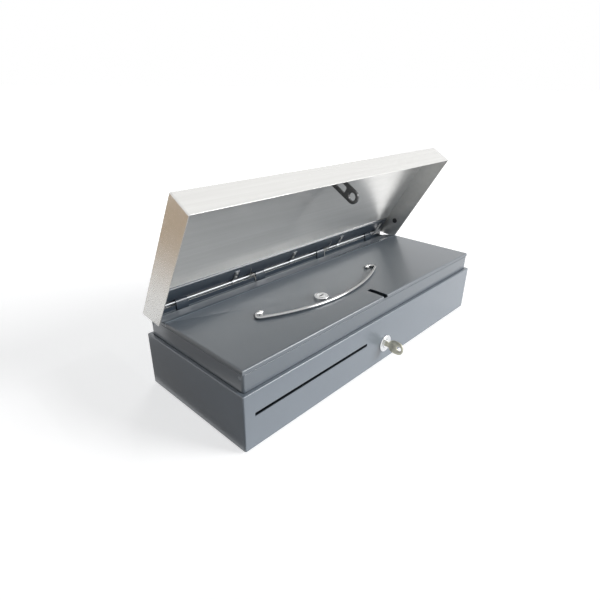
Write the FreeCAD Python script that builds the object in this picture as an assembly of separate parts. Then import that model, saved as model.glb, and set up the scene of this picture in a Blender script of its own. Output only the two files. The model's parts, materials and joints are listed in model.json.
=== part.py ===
import FreeCAD, Part
import math
import os

# Flip-top cash drawer: a low steel case with a sprung lid, a lift-out money
# tray under a lockable cover, a front key lock and a solenoid latch.
# Millimetres. Origin at the middle of the case's footprint on the counter,
# +X to the right, +Y to the rear, +Z up. The front faces -Y. The lid is open.

# Case and collar
CASE_W = 460.0
CASE_D = 170.0
FOOT_H = 2.5
CASE_H = 65.5
CASE_T = 1.2
CASE_EDGE_R = 2.0
COLLAR_INSET = 4.5
COLLAR_DROP = 12.5
HINGE_WALL_RISE = 5.0
COLLAR_T = 1.0
COLLAR_LAP = 10.0
COLLAR_FOOT = 2.4
MOUTH_GAP = 0.6
COLLAR_EDGE_R = 3.0

# Lid, measured as it lies closed
LID_T = 1.0
LID_OVERHANG = 3.0
LID_GAP = 0.6
CLOSED_H = 100.0
OPEN_ANGLE = 59.7
FLANGE_CUT = 13.0
REAR_LIP = 5.0
LID_EDGE_R = 1.6
AXIS_INSET = 3.0
AXIS_DROP = 4.2

# Hinge
ROD_R = 1.8
RUN_FIT = 0.05
KNUCKLE_R = 2.9
LUG_W = 16.0
LUG_T = 1.5
LUG_H = 20.0
LUG_STAGGER = 18.0
LUG_COUNT = 4
STRAP_W = 7.0
STRAP_T = 0.8
STRAP_REACH = 19.0
STRAP_END = 14.0
STRAP_COUNT = 5
LEAF_NEAR = 5.0
LEAF_FAR = 26.0
LEAF_RISE = 3.0
LEAF_T = 1.2
LEAF_END_GAP = 5.0
RIVET_R = 2.2
RIVET_H = 0.8

# Torsion springs round the hinge rod
SPRING_WIRE_R = 0.4
SPRING_R = 2.45
SPRING_PITCH = 1.4
SPRING_TURNS = 6
SPRING_GAP = 2.0
SPRING_LEG = 10.0
SPRING_LEAN = 1.6
SPRING_ARM = 15.5
TOUCH_GAP = 0.3

# Money tray (insert), its cover and handle
TRAY_SIDE_GAP = 4.0
TRAY_FRONT_GAP = 3.0
TRAY_REAR_GAP = 9.3
TRAY_FLOOR_Z = 46.0
TRAY_T = 1.2
COVER_DROP = 7.0
COVER_T = 1.0
COVER_LIFT_GAP = 0.5
COVER_REAR_GAP = 7.5
COVER_BEND_BACK = 24.0
COVER_FALL = 4.0
COVER_EDGE_R = 2.0
HEM_R = 0.7
HEM_END = 2.6
SEAT_GAP = 0.1
SLOT_W = 8.0
SLOT_REACH = 26.0
SLOT_FALL = 3.2
HANDLE_X = -39.0
HANDLE_Y = -8.2
HANDLE_WIRE_R = 2.0
HANDLE_HALF = 110.0
HANDLE_REACH = 35.5
HANDLE_BEND_R = 5.0
HANDLE_END = 97.0
EAR_X = 101.0
EAR_T = 3.0
EAR_W = 7.6
HANDLE_LIE_GAP = 0.2

# Tray contents
CUP_COUNT = 4
CUP_CLEAR = 2.2
CUP_T = 1.5
CUP_GAP = 0.4
CUP_CORNER_R = 6.0
PARTITION_Y = 1.0
PARTITION_T = 1.2
PARTITION_DROP = 12.3
DIVIDER_COUNT = 3
DIVIDER_T = 1.5
DIVIDER_DROP = 16.3

# Locks
LOCK_X = 4.0
LOCK_Z = 27.0
LOCK_R = 9.4
LOCK_BORE_R = 6.0
BEZEL_R = 11.4
BEZEL_H = 2.2
LOCK_LEN = 19.0
PLUG_PROUD = 0.6
NUT_R = 13.0
NUT_T = 3.0
CAM_T = 1.5
CAM_W = 9.0
CAM_REACH = 14.0
CAM_SCREW_R = 3.0
CAM_SCREW_H = 1.6
KEY_BLADE_W = 7.0
KEY_BLADE_T = 1.6
KEY_IN = 15.0
KEY_FIT = 0.15
KEY_NECK = 5.0
BOW_R = 10.5
BOW_HOLE_R = 3.2
BOW_T = 2.0
COVER_LOCK_X = -59.0
COVER_LOCK_Y = -29.0
COVER_LOCK_R = 7.6
COVER_PLUG_R = 5.0
COVER_BEZEL_R = 9.2
COVER_BEZEL_H = 4.2
COVER_LOCK_DEPTH = 18.0
COVER_CAM_TIP = 1.6

# Latch: the striker on the lid, a rocking hook and its solenoid
LATCH_X = 3.0
STRIKER_T = 3.0
STRIKER_BACK = 21.0
STRIKER_R = 8.8
STRIKER_DROP = 36.5
STRIKER_HOLE_R = 5.0
STRIKER_FOOT_W = 15.0
STRIKER_FOOT_T = 1.5
WINDOW_HALF = 4.2
WINDOW_LOW = 12.0
WINDOW_H = 15.0
HOOK_SIDE = 16.0
HOOK_Z = 39.0
HOOK_HUB_R = 5.0
HOOK_PIN_R = 2.5
HOOK_T = 3.0
HOOK_ARM_W = 8.0
NOSE_PAST = 4.0
NOSE_H = 4.0
LOWER_ARM = 16.0
LOWER_ARM_W = 7.0
LATCH_SETBACK = 34.5
PLUNGER_R = 3.0
PLUNGER_PIN_R = 1.2
PIN_SLOT_GAP = 0.35
SOLENOID_SIDE = 14.0
SOLENOID_L = 34.0
SOLENOID_HALF = 9.5
SOLENOID_T = 1.5
COIL_R = 8.0
LATCH_BASE_T = 1.5
LATCH_FRONT_GAP = 7.0
UPRIGHT_BACK = 4.5
NOTCH_SWING = 10.0
NOTCH_CLEAR = 4.5
CAM_WINDOW_CLEAR = 1.0
UPRIGHT_T = 1.5
RETURN_WIRE_R = 0.4
RETURN_R = 4.4
RETURN_TURNS = 6

# Case openings and fixings
MEDIA_LEFT = 14.0
MEDIA_W = 180.0
MEDIA_Z = 41.0
MEDIA_H = 4.0
FIX_SPACING_X = 380.0
FIX_SPACING_Y = 120.0
FIX_HOLE_R = 3.0
FOOT_R = 8.0
FOOT_INSET = 16.0
FOOT_STUD_R = 2.0
FOOT_HEAD_R = 4.0
FOOT_HEAD_H = 2.0
LEDGE_W = 14.0
LEDGE_H = 14.0
LEDGE_T = 1.2
LEDGE_LEN = 130.0
SOCKET_X = 150.0
SOCKET_Z = 22.0
SOCKET_W = 16.0
SOCKET_H = 14.0
SOCKET_D = 16.0
SOCKET_WALL = 2.0
BUFFER_R = 4.0
BUFFER_H = 1.4
BUFFER_BACK = 136.0

# Worked out from the sizes above
HALF_W = CASE_W / 2
HALF_D = CASE_D / 2
STEP_Z = FOOT_H + CASE_H
FLOOR_Z = FOOT_H + CASE_T
COLLAR_TOP = CLOSED_H - COLLAR_DROP
COLLAR_X = HALF_W - COLLAR_INSET
COLLAR_Y = HALF_D - COLLAR_INSET
AXIS_Y = HALF_D - AXIS_INSET
AXIS_Z = CLOSED_H - AXIS_DROP
PANEL_Z = CLOSED_H - LID_T
LID_D = CASE_D + LID_OVERHANG
LEAF_HALF = HALF_W - LID_T - LEAF_END_GAP
STRAP_SPACING = 2 * (LEAF_HALF - STRAP_END) / (STRAP_COUNT - 1)
LUG_SPACING = STRAP_SPACING + LUG_STAGGER
SPRING_X = LUG_SPACING / 2 + LUG_W / 2 + SPRING_GAP
TRAY_X = COLLAR_X - TRAY_SIDE_GAP
TRAY_FRONT = -COLLAR_Y + TRAY_FRONT_GAP
TRAY_REAR = COLLAR_Y - TRAY_REAR_GAP
COVER_REAR = COLLAR_Y - COVER_REAR_GAP
COVER_LOW_Z = COLLAR_TOP + COVER_LIFT_GAP
COVER_TOP_Z = CLOSED_H - COVER_DROP
COVER_UNDER_Z = COVER_TOP_Z - COVER_T
COVER_BEND_Y = COVER_REAR - COVER_BEND_BACK
HEM_Y = COVER_REAR - HEM_R
HEM_Z = COVER_LOW_Z + HEM_R
COVER_CAM_Z = COVER_TOP_Z - COVER_LOCK_DEPTH - CAM_T
TRAY_INSIDE_Z = TRAY_FLOOR_Z + TRAY_T
CUP_H = COVER_CAM_Z - CAM_SCREW_H - CUP_CLEAR - TRAY_INSIDE_Z
PARTITION_H = COVER_UNDER_Z - PARTITION_DROP - TRAY_INSIDE_Z
DIVIDER_H = COVER_UNDER_Z - DIVIDER_DROP - TRAY_INSIDE_Z
COVER_CAM_REACH = PARTITION_Y + PARTITION_T + COVER_CAM_TIP - COVER_LOCK_Y
HOOK_X = LATCH_X - HOOK_SIDE
SOLENOID_X = LATCH_X + SOLENOID_SIDE
PLUNGER_Y = -HALF_D + LATCH_SETBACK
RING_Y = -HALF_D + STRIKER_BACK
RING_Z = PANEL_Z - STRIKER_DROP
HANDLE_Z = COVER_TOP_Z + HANDLE_LIE_GAP + HANDLE_WIRE_R
NOTCH_LEFT = HOOK_X - HOOK_HUB_R - NOTCH_SWING
NOTCH_RIGHT = LATCH_X + STRIKER_FOOT_W / 2 + NOTCH_CLEAR
NOTCH_BACK = RING_Y + STRIKER_R + NOTCH_CLEAR

X = FreeCAD.Vector(1, 0, 0)
Y = FreeCAD.Vector(0, 1, 0)
Z = FreeCAD.Vector(0, 0, 1)


def vec(x, y, z):
    return FreeCAD.Vector(x, y, z)


def box(x0, x1, y0, y1, z0, z1):
    """A box between two values on each axis."""
    return Part.makeBox(x1 - x0, y1 - y0, z1 - z0, vec(x0, y0, z0))


def rod(radius, start, axis, length):
    return Part.makeCylinder(radius, length, start, axis)


def prism_x(points, x0, x1):
    """A (y, z) outline carried along X."""
    corners = [vec(x0, y, z) for y, z in points]
    face = Part.Face(Part.makePolygon(corners + corners[:1]))
    return face.extrude(vec(x1 - x0, 0, 0))


def prism_y(points, y0, y1):
    """An (x, z) outline carried along Y."""
    corners = [vec(x, y0, z) for x, z in points]
    face = Part.Face(Part.makePolygon(corners + corners[:1]))
    return face.extrude(vec(0, y1 - y0, 0))


def round_box(x0, x1, y0, y1, z0, z1, radius):
    """A box with its four upright edges rounded."""
    body = box(x0, x1, y0, y1, z0, z1)
    return fillet_edges(body, radius, lambda a, b: abs(a.z - b.z) > (z1 - z0) / 2)


def fillet_edges(body, radius, wanted):
    """Round the straight edges whose two ends pass the test."""
    edges = []
    for edge in body.Edges:
        ends = [v.Point for v in edge.Vertexes]
        if len(ends) == 2 and wanted(ends[0], ends[1]):
            edges.append(edge)
    return body.makeFillet(radius, edges)


def join(shapes):
    body = shapes[0]
    for other in shapes[1:]:
        body = body.fuse(other)
    return body.removeSplitter()


def cut(body, tools):
    for tool in tools:
        body = body.cut(tool)
    return body


def group(shapes):
    return Part.makeCompound(shapes)


def spread(count, spacing):
    """Places centred on zero."""
    return [(i - (count - 1) / 2) * spacing for i in range(count)]


def mirror_x(shape):
    return shape.mirror(vec(0, 0, 0), X)


def to_open(shape):
    """Turn a piece of the closed lid to the open rest position."""
    body = shape.copy()
    body.rotate(vec(0, AXIS_Y, AXIS_Z), vec(-1, 0, 0), OPEN_ANGLE)
    return body


def open_point(y, z):
    """Where a (y, z) point of the closed lid lies when the lid is open."""
    turn = math.radians(OPEN_ANGLE)
    dy = y - AXIS_Y
    dz = z - AXIS_Z
    new_y = AXIS_Y + dy * math.cos(turn) + dz * math.sin(turn)
    new_z = AXIS_Z - dy * math.sin(turn) + dz * math.cos(turn)
    return new_y, new_z


def dome(centre, axis, radius, height):
    """A low rivet head standing on a face, a cap of a larger ball."""
    ball_r = (radius * radius + height * height) / (2 * height)
    ball = Part.makeSphere(ball_r, vec(0, 0, height - ball_r))
    cap = ball.common(rod(radius + 1, vec(0, 0, 0), Z, height + 1))
    cap.Placement = FreeCAD.Placement(centre, FreeCAD.Rotation(Z, axis))
    return cap


# Case


def case_shell():
    """Floor, four walls and the lip that turns in over the collar's foot."""
    outer = round_box(-HALF_W, HALF_W, -HALF_D, HALF_D, FOOT_H, STEP_Z, CASE_EDGE_R)
    top = lambda a, b: a.z > STEP_Z - 0.01 and b.z > STEP_Z - 0.01
    edges = [e for e in outer.Edges if all(top(v.Point, v.Point) for v in e.Vertexes)]
    outer = outer.makeFillet(CASE_EDGE_R * 0.6, edges)
    t = CASE_T
    inner = box(-HALF_W + t, HALF_W - t, -HALF_D + t, HALF_D - t, FLOOR_Z, STEP_Z - t)
    x, y = COLLAR_X + MOUTH_GAP, COLLAR_Y + MOUTH_GAP
    mouth = round_box(-x, x, -y, y, STEP_Z - 2 * t, STEP_Z + t, COLLAR_EDGE_R + MOUTH_GAP)
    body = cut(outer, [inner, mouth])
    return cut(body, case_holes())


def case_holes():
    front = -HALF_D - 1
    holes = [rod(LOCK_R + RUN_FIT, vec(LOCK_X, front, LOCK_Z), Y, CASE_T + 2)]
    x0 = -HALF_W + MEDIA_LEFT
    low = MEDIA_Z - MEDIA_H / 2
    holes.append(box(x0, x0 + MEDIA_W, front, front + CASE_T + 2, low, low + MEDIA_H))
    for x in (-FIX_SPACING_X / 2, FIX_SPACING_X / 2):
        for y in (-FIX_SPACING_Y / 2, FIX_SPACING_Y / 2):
            holes.append(rod(FIX_HOLE_R, vec(x, y, FOOT_H - 1), Z, CASE_T + 2))
    for x, y in foot_places():
        holes.append(rod(FOOT_STUD_R + RUN_FIT, vec(x, y, FOOT_H - 1), Z, CASE_T + 2))
    half = SOCKET_W / 2 - SOCKET_WALL
    tall = SOCKET_H / 2 - SOCKET_WALL
    holes.append(
        box(
            SOCKET_X - half, SOCKET_X + half, HALF_D - CASE_T - 1, HALF_D + 1,
            SOCKET_Z - tall, SOCKET_Z + tall,
        )
    )
    return holes


def collar_frame():
    """The upright frame round the mouth, with a foot turned out under the lip."""
    low = STEP_Z - COLLAR_LAP
    x, y, t = COLLAR_X, COLLAR_Y, COLLAR_T
    outer = round_box(-x, x, -y, y, low, COLLAR_TOP, COLLAR_EDGE_R)
    inner_r = COLLAR_EDGE_R - t if COLLAR_EDGE_R > t + 0.2 else COLLAR_EDGE_R * 0.3
    inner = round_box(-x + t, x - t, -y + t, y - t, low - 1, COLLAR_TOP + 1, inner_r)
    lip_z = STEP_Z - CASE_T
    x, y = x + COLLAR_FOOT, y + COLLAR_FOOT
    foot = round_box(-x, x, -y, y, lip_z - t, lip_z, COLLAR_EDGE_R + COLLAR_FOOT)
    return join([outer, foot]).cut(inner)


def hinge_wall():
    """Strip along the top of the collar's rear wall, between the corners."""
    half = COLLAR_X - COLLAR_EDGE_R
    top = COLLAR_TOP + HINGE_WALL_RISE
    return box(-half, half, COLLAR_Y - COLLAR_T, COLLAR_Y, COLLAR_TOP, top)


def foot_places():
    x = HALF_W - FOOT_INSET
    y = HALF_D - FOOT_INSET
    return [(-x, -y), (x, -y), (-x, y), (x, y)]


def rubber_feet():
    feet = []
    for x, y in foot_places():
        pad = Part.makeCone(FOOT_R - 1, FOOT_R, FOOT_H, vec(x, y, 0), Z)
        feet.append(pad)
    return group(feet)


def foot_rivets():
    """Each foot's rivet through the floor, with its head inside the case."""
    rivets = []
    for x, y in foot_places():
        shank = rod(FOOT_STUD_R, vec(x, y, FOOT_H), Z, CASE_T)
        head = rod(FOOT_HEAD_R, vec(x, y, FLOOR_Z), Z, FOOT_HEAD_H)
        rivets.append(join([shank, head]))
    return group(rivets)


def tray_ledges():
    """Angle rails on the side walls that carry the money tray."""
    wall = HALF_W - CASE_T
    half = LEDGE_LEN / 2
    shelf = box(wall - LEDGE_W, wall, -half, half, TRAY_FLOOR_Z - LEDGE_T, TRAY_FLOOR_Z)
    leg = box(wall - LEDGE_T, wall, -half, half, TRAY_FLOOR_Z - LEDGE_H, TRAY_FLOOR_Z)
    rail = join([shelf, leg])
    return group([rail, mirror_x(rail)])


def collar_rivets():
    """Rivets that hold the collar to the case, two on each end wall."""
    rivets = []
    z = COLLAR_TOP - COLLAR_INSET
    for side in (-1, 1):
        for y in (-COLLAR_Y + COLLAR_INSET, COLLAR_Y - COLLAR_INSET):
            rivets.append(dome(vec(side * COLLAR_X, y, z), X * side, RIVET_R, RIVET_H))
    return group(rivets)


def cable_socket():
    """Socket for the drawer cable, behind a window in the rear wall."""
    back = HALF_D - CASE_T
    x0, x1 = SOCKET_X - SOCKET_W / 2, SOCKET_X + SOCKET_W / 2
    z0, z1 = SOCKET_Z - SOCKET_H / 2, SOCKET_Z + SOCKET_H / 2
    body = box(x0, x1, back - SOCKET_D, back, z0, z1)
    w = SOCKET_WALL
    cavity = box(x0 + w, x1 - w, back - SOCKET_D + w, back + 1, z0 + w, z1 - w)
    pins = box(x0 + 2 * w, x1 - 2 * w, back - SOCKET_D + w, back - w, z0 + w, z0 + 1.4 * w)
    stand = box(x0, x1, back - SOCKET_D, back, FLOOR_Z, z0)
    return join([body.cut(cavity), pins, stand])


# Hinge


def hinge_lugs():
    """Knuckles on the collar's rear wall that carry the rod."""
    lugs = []
    inner = COLLAR_Y - COLLAR_T
    for x in spread(LUG_COUNT, LUG_SPACING):
        x0 = x - LUG_W / 2
        leg = box(x0, x0 + LUG_W, inner - LUG_T, inner, COLLAR_TOP - LUG_H, AXIS_Z)
        web = box(x0, x0 + LUG_W, inner - LUG_T, AXIS_Y, AXIS_Z - KNUCKLE_R, AXIS_Z)
        barrel = rod(KNUCKLE_R, vec(x0, AXIS_Y, AXIS_Z), X, LUG_W)
        hole = rod(ROD_R + RUN_FIT, vec(x0 - 1, AXIS_Y, AXIS_Z), X, LUG_W + 2)
        lugs.append(join([leg, web, barrel]).cut(hole))
    return group(lugs)


def lug_rivets():
    """Rivet heads on the lugs' legs, two to a lug."""
    rivets = []
    face = COLLAR_Y - COLLAR_T - LUG_T
    z = COLLAR_TOP - LUG_H / 2
    for x in spread(LUG_COUNT, LUG_SPACING):
        for dx in (-LUG_W / 4, LUG_W / 4):
            rivets.append(dome(vec(x + dx, face, z), Y * -1, RIVET_R, RIVET_H))
    return group(rivets)


def hinge_rod():
    return rod(ROD_R, vec(-LEAF_HALF, AXIS_Y, AXIS_Z), X, 2 * LEAF_HALF)


def lid_hinge_leaf():
    """Channel along the lid's rear, with its front edge rolled over."""
    half = LEAF_HALF
    low = PANEL_Z - LEAF_RISE
    near, far = AXIS_Y - LEAF_NEAR, AXIS_Y - LEAF_FAR
    bar = box(-half, half, far, near, low, PANEL_Z)
    bar = fillet_edges(
        bar, min(LEAF_RISE, LEAF_T + 1) * 0.8,
        lambda a, b: a.y < far + 0.01 and b.y < far + 0.01 and max(a.z, b.z) < low + 0.01,
    )
    t = LEAF_T
    hollow = box(-half - 1, half + 1, far + t, near - t, low + t, PANEL_Z + 1)
    return to_open(bar.cut(hollow))


def hinge_straps():
    """Eyes that hang the lid on the rod, with tails along the leaf."""
    straps = []
    leaf_low = PANEL_Z - LEAF_RISE
    for x in spread(STRAP_COUNT, STRAP_SPACING):
        x0 = x - STRAP_W / 2
        eye_r = ROD_R + RUN_FIT + STRAP_T
        eye = rod(eye_r, vec(x0, AXIS_Y, AXIS_Z), X, STRAP_W)
        tail = box(
            x0, x0 + STRAP_W, AXIS_Y - STRAP_REACH, AXIS_Y, leaf_low - STRAP_T, leaf_low
        )
        hole = rod(ROD_R + RUN_FIT, vec(x0 - 1, AXIS_Y, AXIS_Z), X, STRAP_W + 2)
        straps.append(join([eye, tail]).cut(hole))
    return to_open(group(straps))


def strap_rivets():
    rivets = []
    face = PANEL_Z - LEAF_RISE - STRAP_T
    for x in spread(STRAP_COUNT, STRAP_SPACING):
        for reach in (STRAP_REACH * 0.45, STRAP_REACH * 0.8):
            rivets.append(dome(vec(x, AXIS_Y - reach, face), Z * -1, RIVET_R, RIVET_H))
    return to_open(group(rivets))


# Springs


def arc_from(start, tangent, end):
    """The arc that leaves start along the unit tangent and reaches end."""
    chord = end - start
    across = chord - tangent * chord.dot(tangent)
    if across.Length < 1e-9:
        return Part.LineSegment(start, end).toShape()
    normal = across * (1 / across.Length)
    radius = chord.dot(chord) / (2 * chord.dot(normal))
    centre = start + normal * radius
    middle = (start + end) * 0.5 - centre
    side = middle * (radius / middle.Length)
    if chord.dot(tangent) < 0:
        side = side * -1
    return Part.Arc(start, centre + side, end).toShape()


def biarc(p0, t0, p1, t1):
    """Two arcs that join smoothly and keep both end directions."""
    v = p1 - p0
    t = t0 + t1
    a = 2 * (1 - t0.dot(t1))
    b = 2 * v.dot(t)
    c = -v.dot(v)
    if a < 1e-9:
        d = -c / b
    else:
        d = (-b + math.sqrt(b * b - 4 * a * c)) / (2 * a)
    joint = (p0 + t0 * d + p1 - t1 * d) * 0.5
    first = arc_from(p0, t0, joint)
    last = arc_from(p1, t1 * -1, joint)
    return [first, last]


def tube(edges, start, direction, radius):
    """A round wire swept along edges that join smoothly."""
    path = Part.Wire(edges)
    circle = Part.Wire(Part.Circle(start, direction, radius).toShape())
    return path.makePipeShell([circle], True, False)


def coil_edges(point, tangent, start, end):
    """Edges of a coil given by functions of its angle, a quarter turn each."""
    steps = max(1, math.ceil((end - start) / (math.pi / 2) - 1e-6))
    edges = []
    for i in range(steps):
        a = start + (end - start) * i / steps
        b = start + (end - start) * (i + 1) / steps
        edges += biarc(point(a), tangent(a), point(b), tangent(b))
    return edges


def least_gap(point, start, end, wire_r):
    """Smallest gap between a coil's turns, measured on points."""
    count = int((end - start) / (math.pi / 12))
    places = [point(start + (end - start) * i / count) for i in range(count + 1)]
    least = 1e9
    for i in range(len(places)):
        for j in range(i + 12, len(places)):
            least = min(least, (places[i] - places[j]).Length)
    return least - 2 * wire_r


def torsion_spring():
    """Coil round the rod: one leg on the collar, the other under the lid."""
    foot = (COLLAR_Y - COLLAR_T - SPRING_WIRE_R - SPRING_LEAN, AXIS_Z - SPRING_LEG)
    leaf_low = PANEL_Z - LEAF_RISE
    tip = open_point(AXIS_Y - SPRING_ARM, leaf_low - SPRING_WIRE_R - TOUCH_GAP)
    drop = SPRING_PITCH / (2 * math.pi)
    slant = math.hypot(SPRING_R, drop)

    def touch(place, sign):
        dy, dz = place[0] - AXIS_Y, place[1] - AXIS_Z
        far = math.hypot(dy, dz)
        return math.atan2(dz, dy) + sign * math.acos(SPRING_R / far), far

    first, foot_far = touch(foot, -1)
    last, tip_far = touch(tip, 1)
    end = (first - last) % (2 * math.pi) + 2 * math.pi * (SPRING_TURNS - 1)

    def point(turned):
        a = first - turned
        y = AXIS_Y + SPRING_R * math.cos(a)
        return vec(SPRING_X + drop * turned, y, AXIS_Z + SPRING_R * math.sin(a))

    def tangent(turned):
        a = first - turned
        way = vec(drop, SPRING_R * math.sin(a), -SPRING_R * math.cos(a))
        return way * (1 / slant)

    leg = math.sqrt(foot_far ** 2 - SPRING_R ** 2) * slant / SPRING_R
    arm = math.sqrt(tip_far ** 2 - SPRING_R ** 2) * slant / SPRING_R
    head = point(0) - tangent(0) * leg
    tail = point(end) + tangent(end) * arm
    edges = [Part.LineSegment(head, point(0)).toShape()]
    edges += coil_edges(point, tangent, 0, end)
    edges.append(Part.LineSegment(point(end), tail).toShape())
    print("torsion spring gap", round(least_gap(point, 0, end, SPRING_WIRE_R), 3))
    return tube(edges, head, tangent(0), SPRING_WIRE_R)


def return_spring():
    """Compression coil on the plunger, between its collar and the solenoid."""
    x0, x1 = plunger_collar_x() + RETURN_WIRE_R + 0.1, SOLENOID_X - RETURN_WIRE_R - 0.1
    y, z = PLUNGER_Y, HOOK_Z - LOWER_ARM
    drop = (x1 - x0) / (2 * math.pi * RETURN_TURNS)
    slant = math.hypot(RETURN_R, drop)
    end = 2 * math.pi * RETURN_TURNS

    def point(a):
        return vec(x0 + drop * a, y + RETURN_R * math.cos(a), z + RETURN_R * math.sin(a))

    def tangent(a):
        way = vec(drop, -RETURN_R * math.sin(a), RETURN_R * math.cos(a))
        return way * (1 / slant)

    print("return spring gap", round(least_gap(point, 0, end, RETURN_WIRE_R), 3))
    return tube(coil_edges(point, tangent, 0, end), point(0), tangent(0), RETURN_WIRE_R)


# Lid


def lid_shell():
    """Folded sheet: top panel, front and side flanges, short rear lip."""
    low = STEP_Z + LID_GAP
    rear = -HALF_D + LID_D
    cut_y = rear - FLANGE_CUT
    side = [(-HALF_D, low), (-HALF_D, CLOSED_H), (rear, CLOSED_H)]
    side += [(rear, CLOSED_H - REAR_LIP), (rear - 1, CLOSED_H - REAR_LIP), (cut_y, low)]
    outer = prism_x(side, -HALF_W, HALF_W)
    ends = lambda a, b: a.y < -HALF_D + 0.01 and b.y < -HALF_D + 0.01
    outer = fillet_edges(outer, LID_EDGE_R, lambda a, b: ends(a, b) and a.z + b.z > low * 2 + 1)
    t = LID_T
    hollow = box(-HALF_W + t, HALF_W - t, -HALF_D + t, rear - t, low - 1, PANEL_Z)
    lip_gap = box(
        -HALF_W + t, HALF_W - t, rear - t - 1, rear + 1, low - 1, CLOSED_H - REAR_LIP
    )
    return to_open(cut(outer, [hollow, lip_gap]))


def striker():
    """Blade with an eye that drops through the cover's slot to the hook."""
    x0, x1 = LATCH_X - STRIKER_T / 2, LATCH_X + STRIKER_T / 2
    y0, y1 = RING_Y - STRIKER_R, RING_Y + STRIKER_R
    blade = box(x0, x1, y0, y1, RING_Z, PANEL_Z)
    eye = rod(STRIKER_R, vec(x0, RING_Y, RING_Z), X, STRIKER_T)
    half = STRIKER_FOOT_W / 2
    foot = box(LATCH_X - half, LATCH_X + half, y0, y1, PANEL_Z - STRIKER_FOOT_T, PANEL_Z)
    hole = rod(STRIKER_HOLE_R, vec(x0 - 1, RING_Y, RING_Z), X, STRIKER_T + 2)
    low = RING_Z + WINDOW_LOW
    window = box(
        x0 - 1, x1 + 1, RING_Y - WINDOW_HALF, RING_Y + WINDOW_HALF, low, low + WINDOW_H
    )
    window = fillet_edges(window, WINDOW_HALF * 0.6, lambda a, b: abs(a.x - b.x) > STRIKER_T)
    return to_open(cut(join([blade, eye, foot]), [hole, window]))


def striker_rivets():
    rivets = []
    x = (STRIKER_FOOT_W / 2 + STRIKER_T / 2) / 2
    for side in (-x, x):
        for y in (RING_Y - STRIKER_R / 2, RING_Y + STRIKER_R / 2):
            place = vec(LATCH_X + side, y, PANEL_Z - STRIKER_FOOT_T)
            rivets.append(dome(place, Z * -1, RIVET_R * 0.8, RIVET_H))
    return to_open(group(rivets))


def lid_buffers():
    """Rubber buttons inside the side flanges that steady the closed lid."""
    y = -HALF_D + BUFFER_BACK
    z = CLOSED_H - (CLOSED_H - STEP_Z) / 2
    button = rod(BUFFER_R, vec(HALF_W - LID_T, y, z), X * -1, BUFFER_H)
    button = button.makeFillet(BUFFER_H * 0.4, [button.Edges[0]])
    return to_open(group([button, mirror_x(button)]))


# Money tray


def cover_line(y):
    """Height of the cover's top at y."""
    if y <= COVER_BEND_Y:
        return COVER_TOP_Z
    return COVER_TOP_Z - COVER_FALL * (y - COVER_BEND_Y) / (COVER_REAR - COVER_BEND_Y)


def under_cover(gap):
    """Solid that fills the room under the cover's sheet."""
    drop = COVER_T + gap
    front = TRAY_FRONT - 5
    rear = TRAY_REAR + 5
    outline = [(front, TRAY_FLOOR_Z - 5), (front, cover_line(front) - drop)]
    outline += [(COVER_BEND_Y, COVER_TOP_Z - drop), (rear, cover_line(rear) - drop)]
    outline.append((rear, TRAY_FLOOR_Z - 5))
    return prism_x(outline, -CASE_W, CASE_W)


def notch(grow):
    """Room at the front for the striker and its hook."""
    return box(
        NOTCH_LEFT - grow, NOTCH_RIGHT + grow, TRAY_FRONT - 10, NOTCH_BACK + grow,
        0, CLOSED_H,
    )


def insert_tray():
    """Open steel tray with a notch in its front wall for the latch."""
    t = TRAY_T
    outer = box(-TRAY_X, TRAY_X, TRAY_FRONT, TRAY_REAR, TRAY_FLOOR_Z, CLOSED_H)
    inner = box(
        -TRAY_X + t, TRAY_X - t, TRAY_FRONT + t, TRAY_REAR - t, TRAY_FLOOR_Z + t, CLOSED_H + 1
    )
    wall = notch(t).common(outer)
    body = join([outer.cut(inner), wall]).cut(notch(0))
    return body.common(under_cover(SEAT_GAP))


def centre_partition():
    """Wall between coins and notes, with a window that the lock cam enters."""
    t = TRAY_T
    low = TRAY_INSIDE_Z
    y0, y1 = PARTITION_Y, PARTITION_Y + PARTITION_T
    wall = box(-TRAY_X + t, TRAY_X - t, y0, y1, low, low + PARTITION_H)
    cam_z = COVER_CAM_Z
    far = COVER_CAM_REACH ** 2 + CAM_W ** 2 / 4
    half = math.sqrt(far - (y0 - COVER_LOCK_Y) ** 2) + CAM_WINDOW_CLEAR
    window = box(
        COVER_LOCK_X - half, COVER_LOCK_X + half, y0 - 1, y1 + 1,
        cam_z - CAM_T, cam_z + 2 * CAM_T,
    )
    return wall.cut(window)


def coin_tray(x0, x1):
    """A moulded row of coin cups with round-bottomed wells."""
    low = TRAY_INSIDE_Z
    y0 = TRAY_FRONT + TRAY_T + CUP_GAP
    y1 = PARTITION_Y - CUP_GAP
    body = box(x0, x1, y0, y1, low, low + CUP_H)
    pitch = (x1 - x0 - CUP_T) / CUP_COUNT
    for i in range(CUP_COUNT):
        a = x0 + CUP_T + i * pitch
        well = box(a, a + pitch - CUP_T, y0 + CUP_T, y1 - CUP_T, low + CUP_T, low + CUP_H + 20)
        well = fillet_edges(
            well, CUP_CORNER_R, lambda p, q: max(p.z, q.z) < low + CUP_T + 0.01
        )
        body = body.cut(well)
    return body


def coin_tray_left():
    x0 = -TRAY_X + TRAY_T + CUP_GAP
    return coin_tray(x0, NOTCH_LEFT - TRAY_T - CUP_GAP)


def coin_tray_right():
    x1 = TRAY_X - TRAY_T - CUP_GAP
    return coin_tray(NOTCH_RIGHT + TRAY_T + CUP_GAP, x1)


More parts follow.
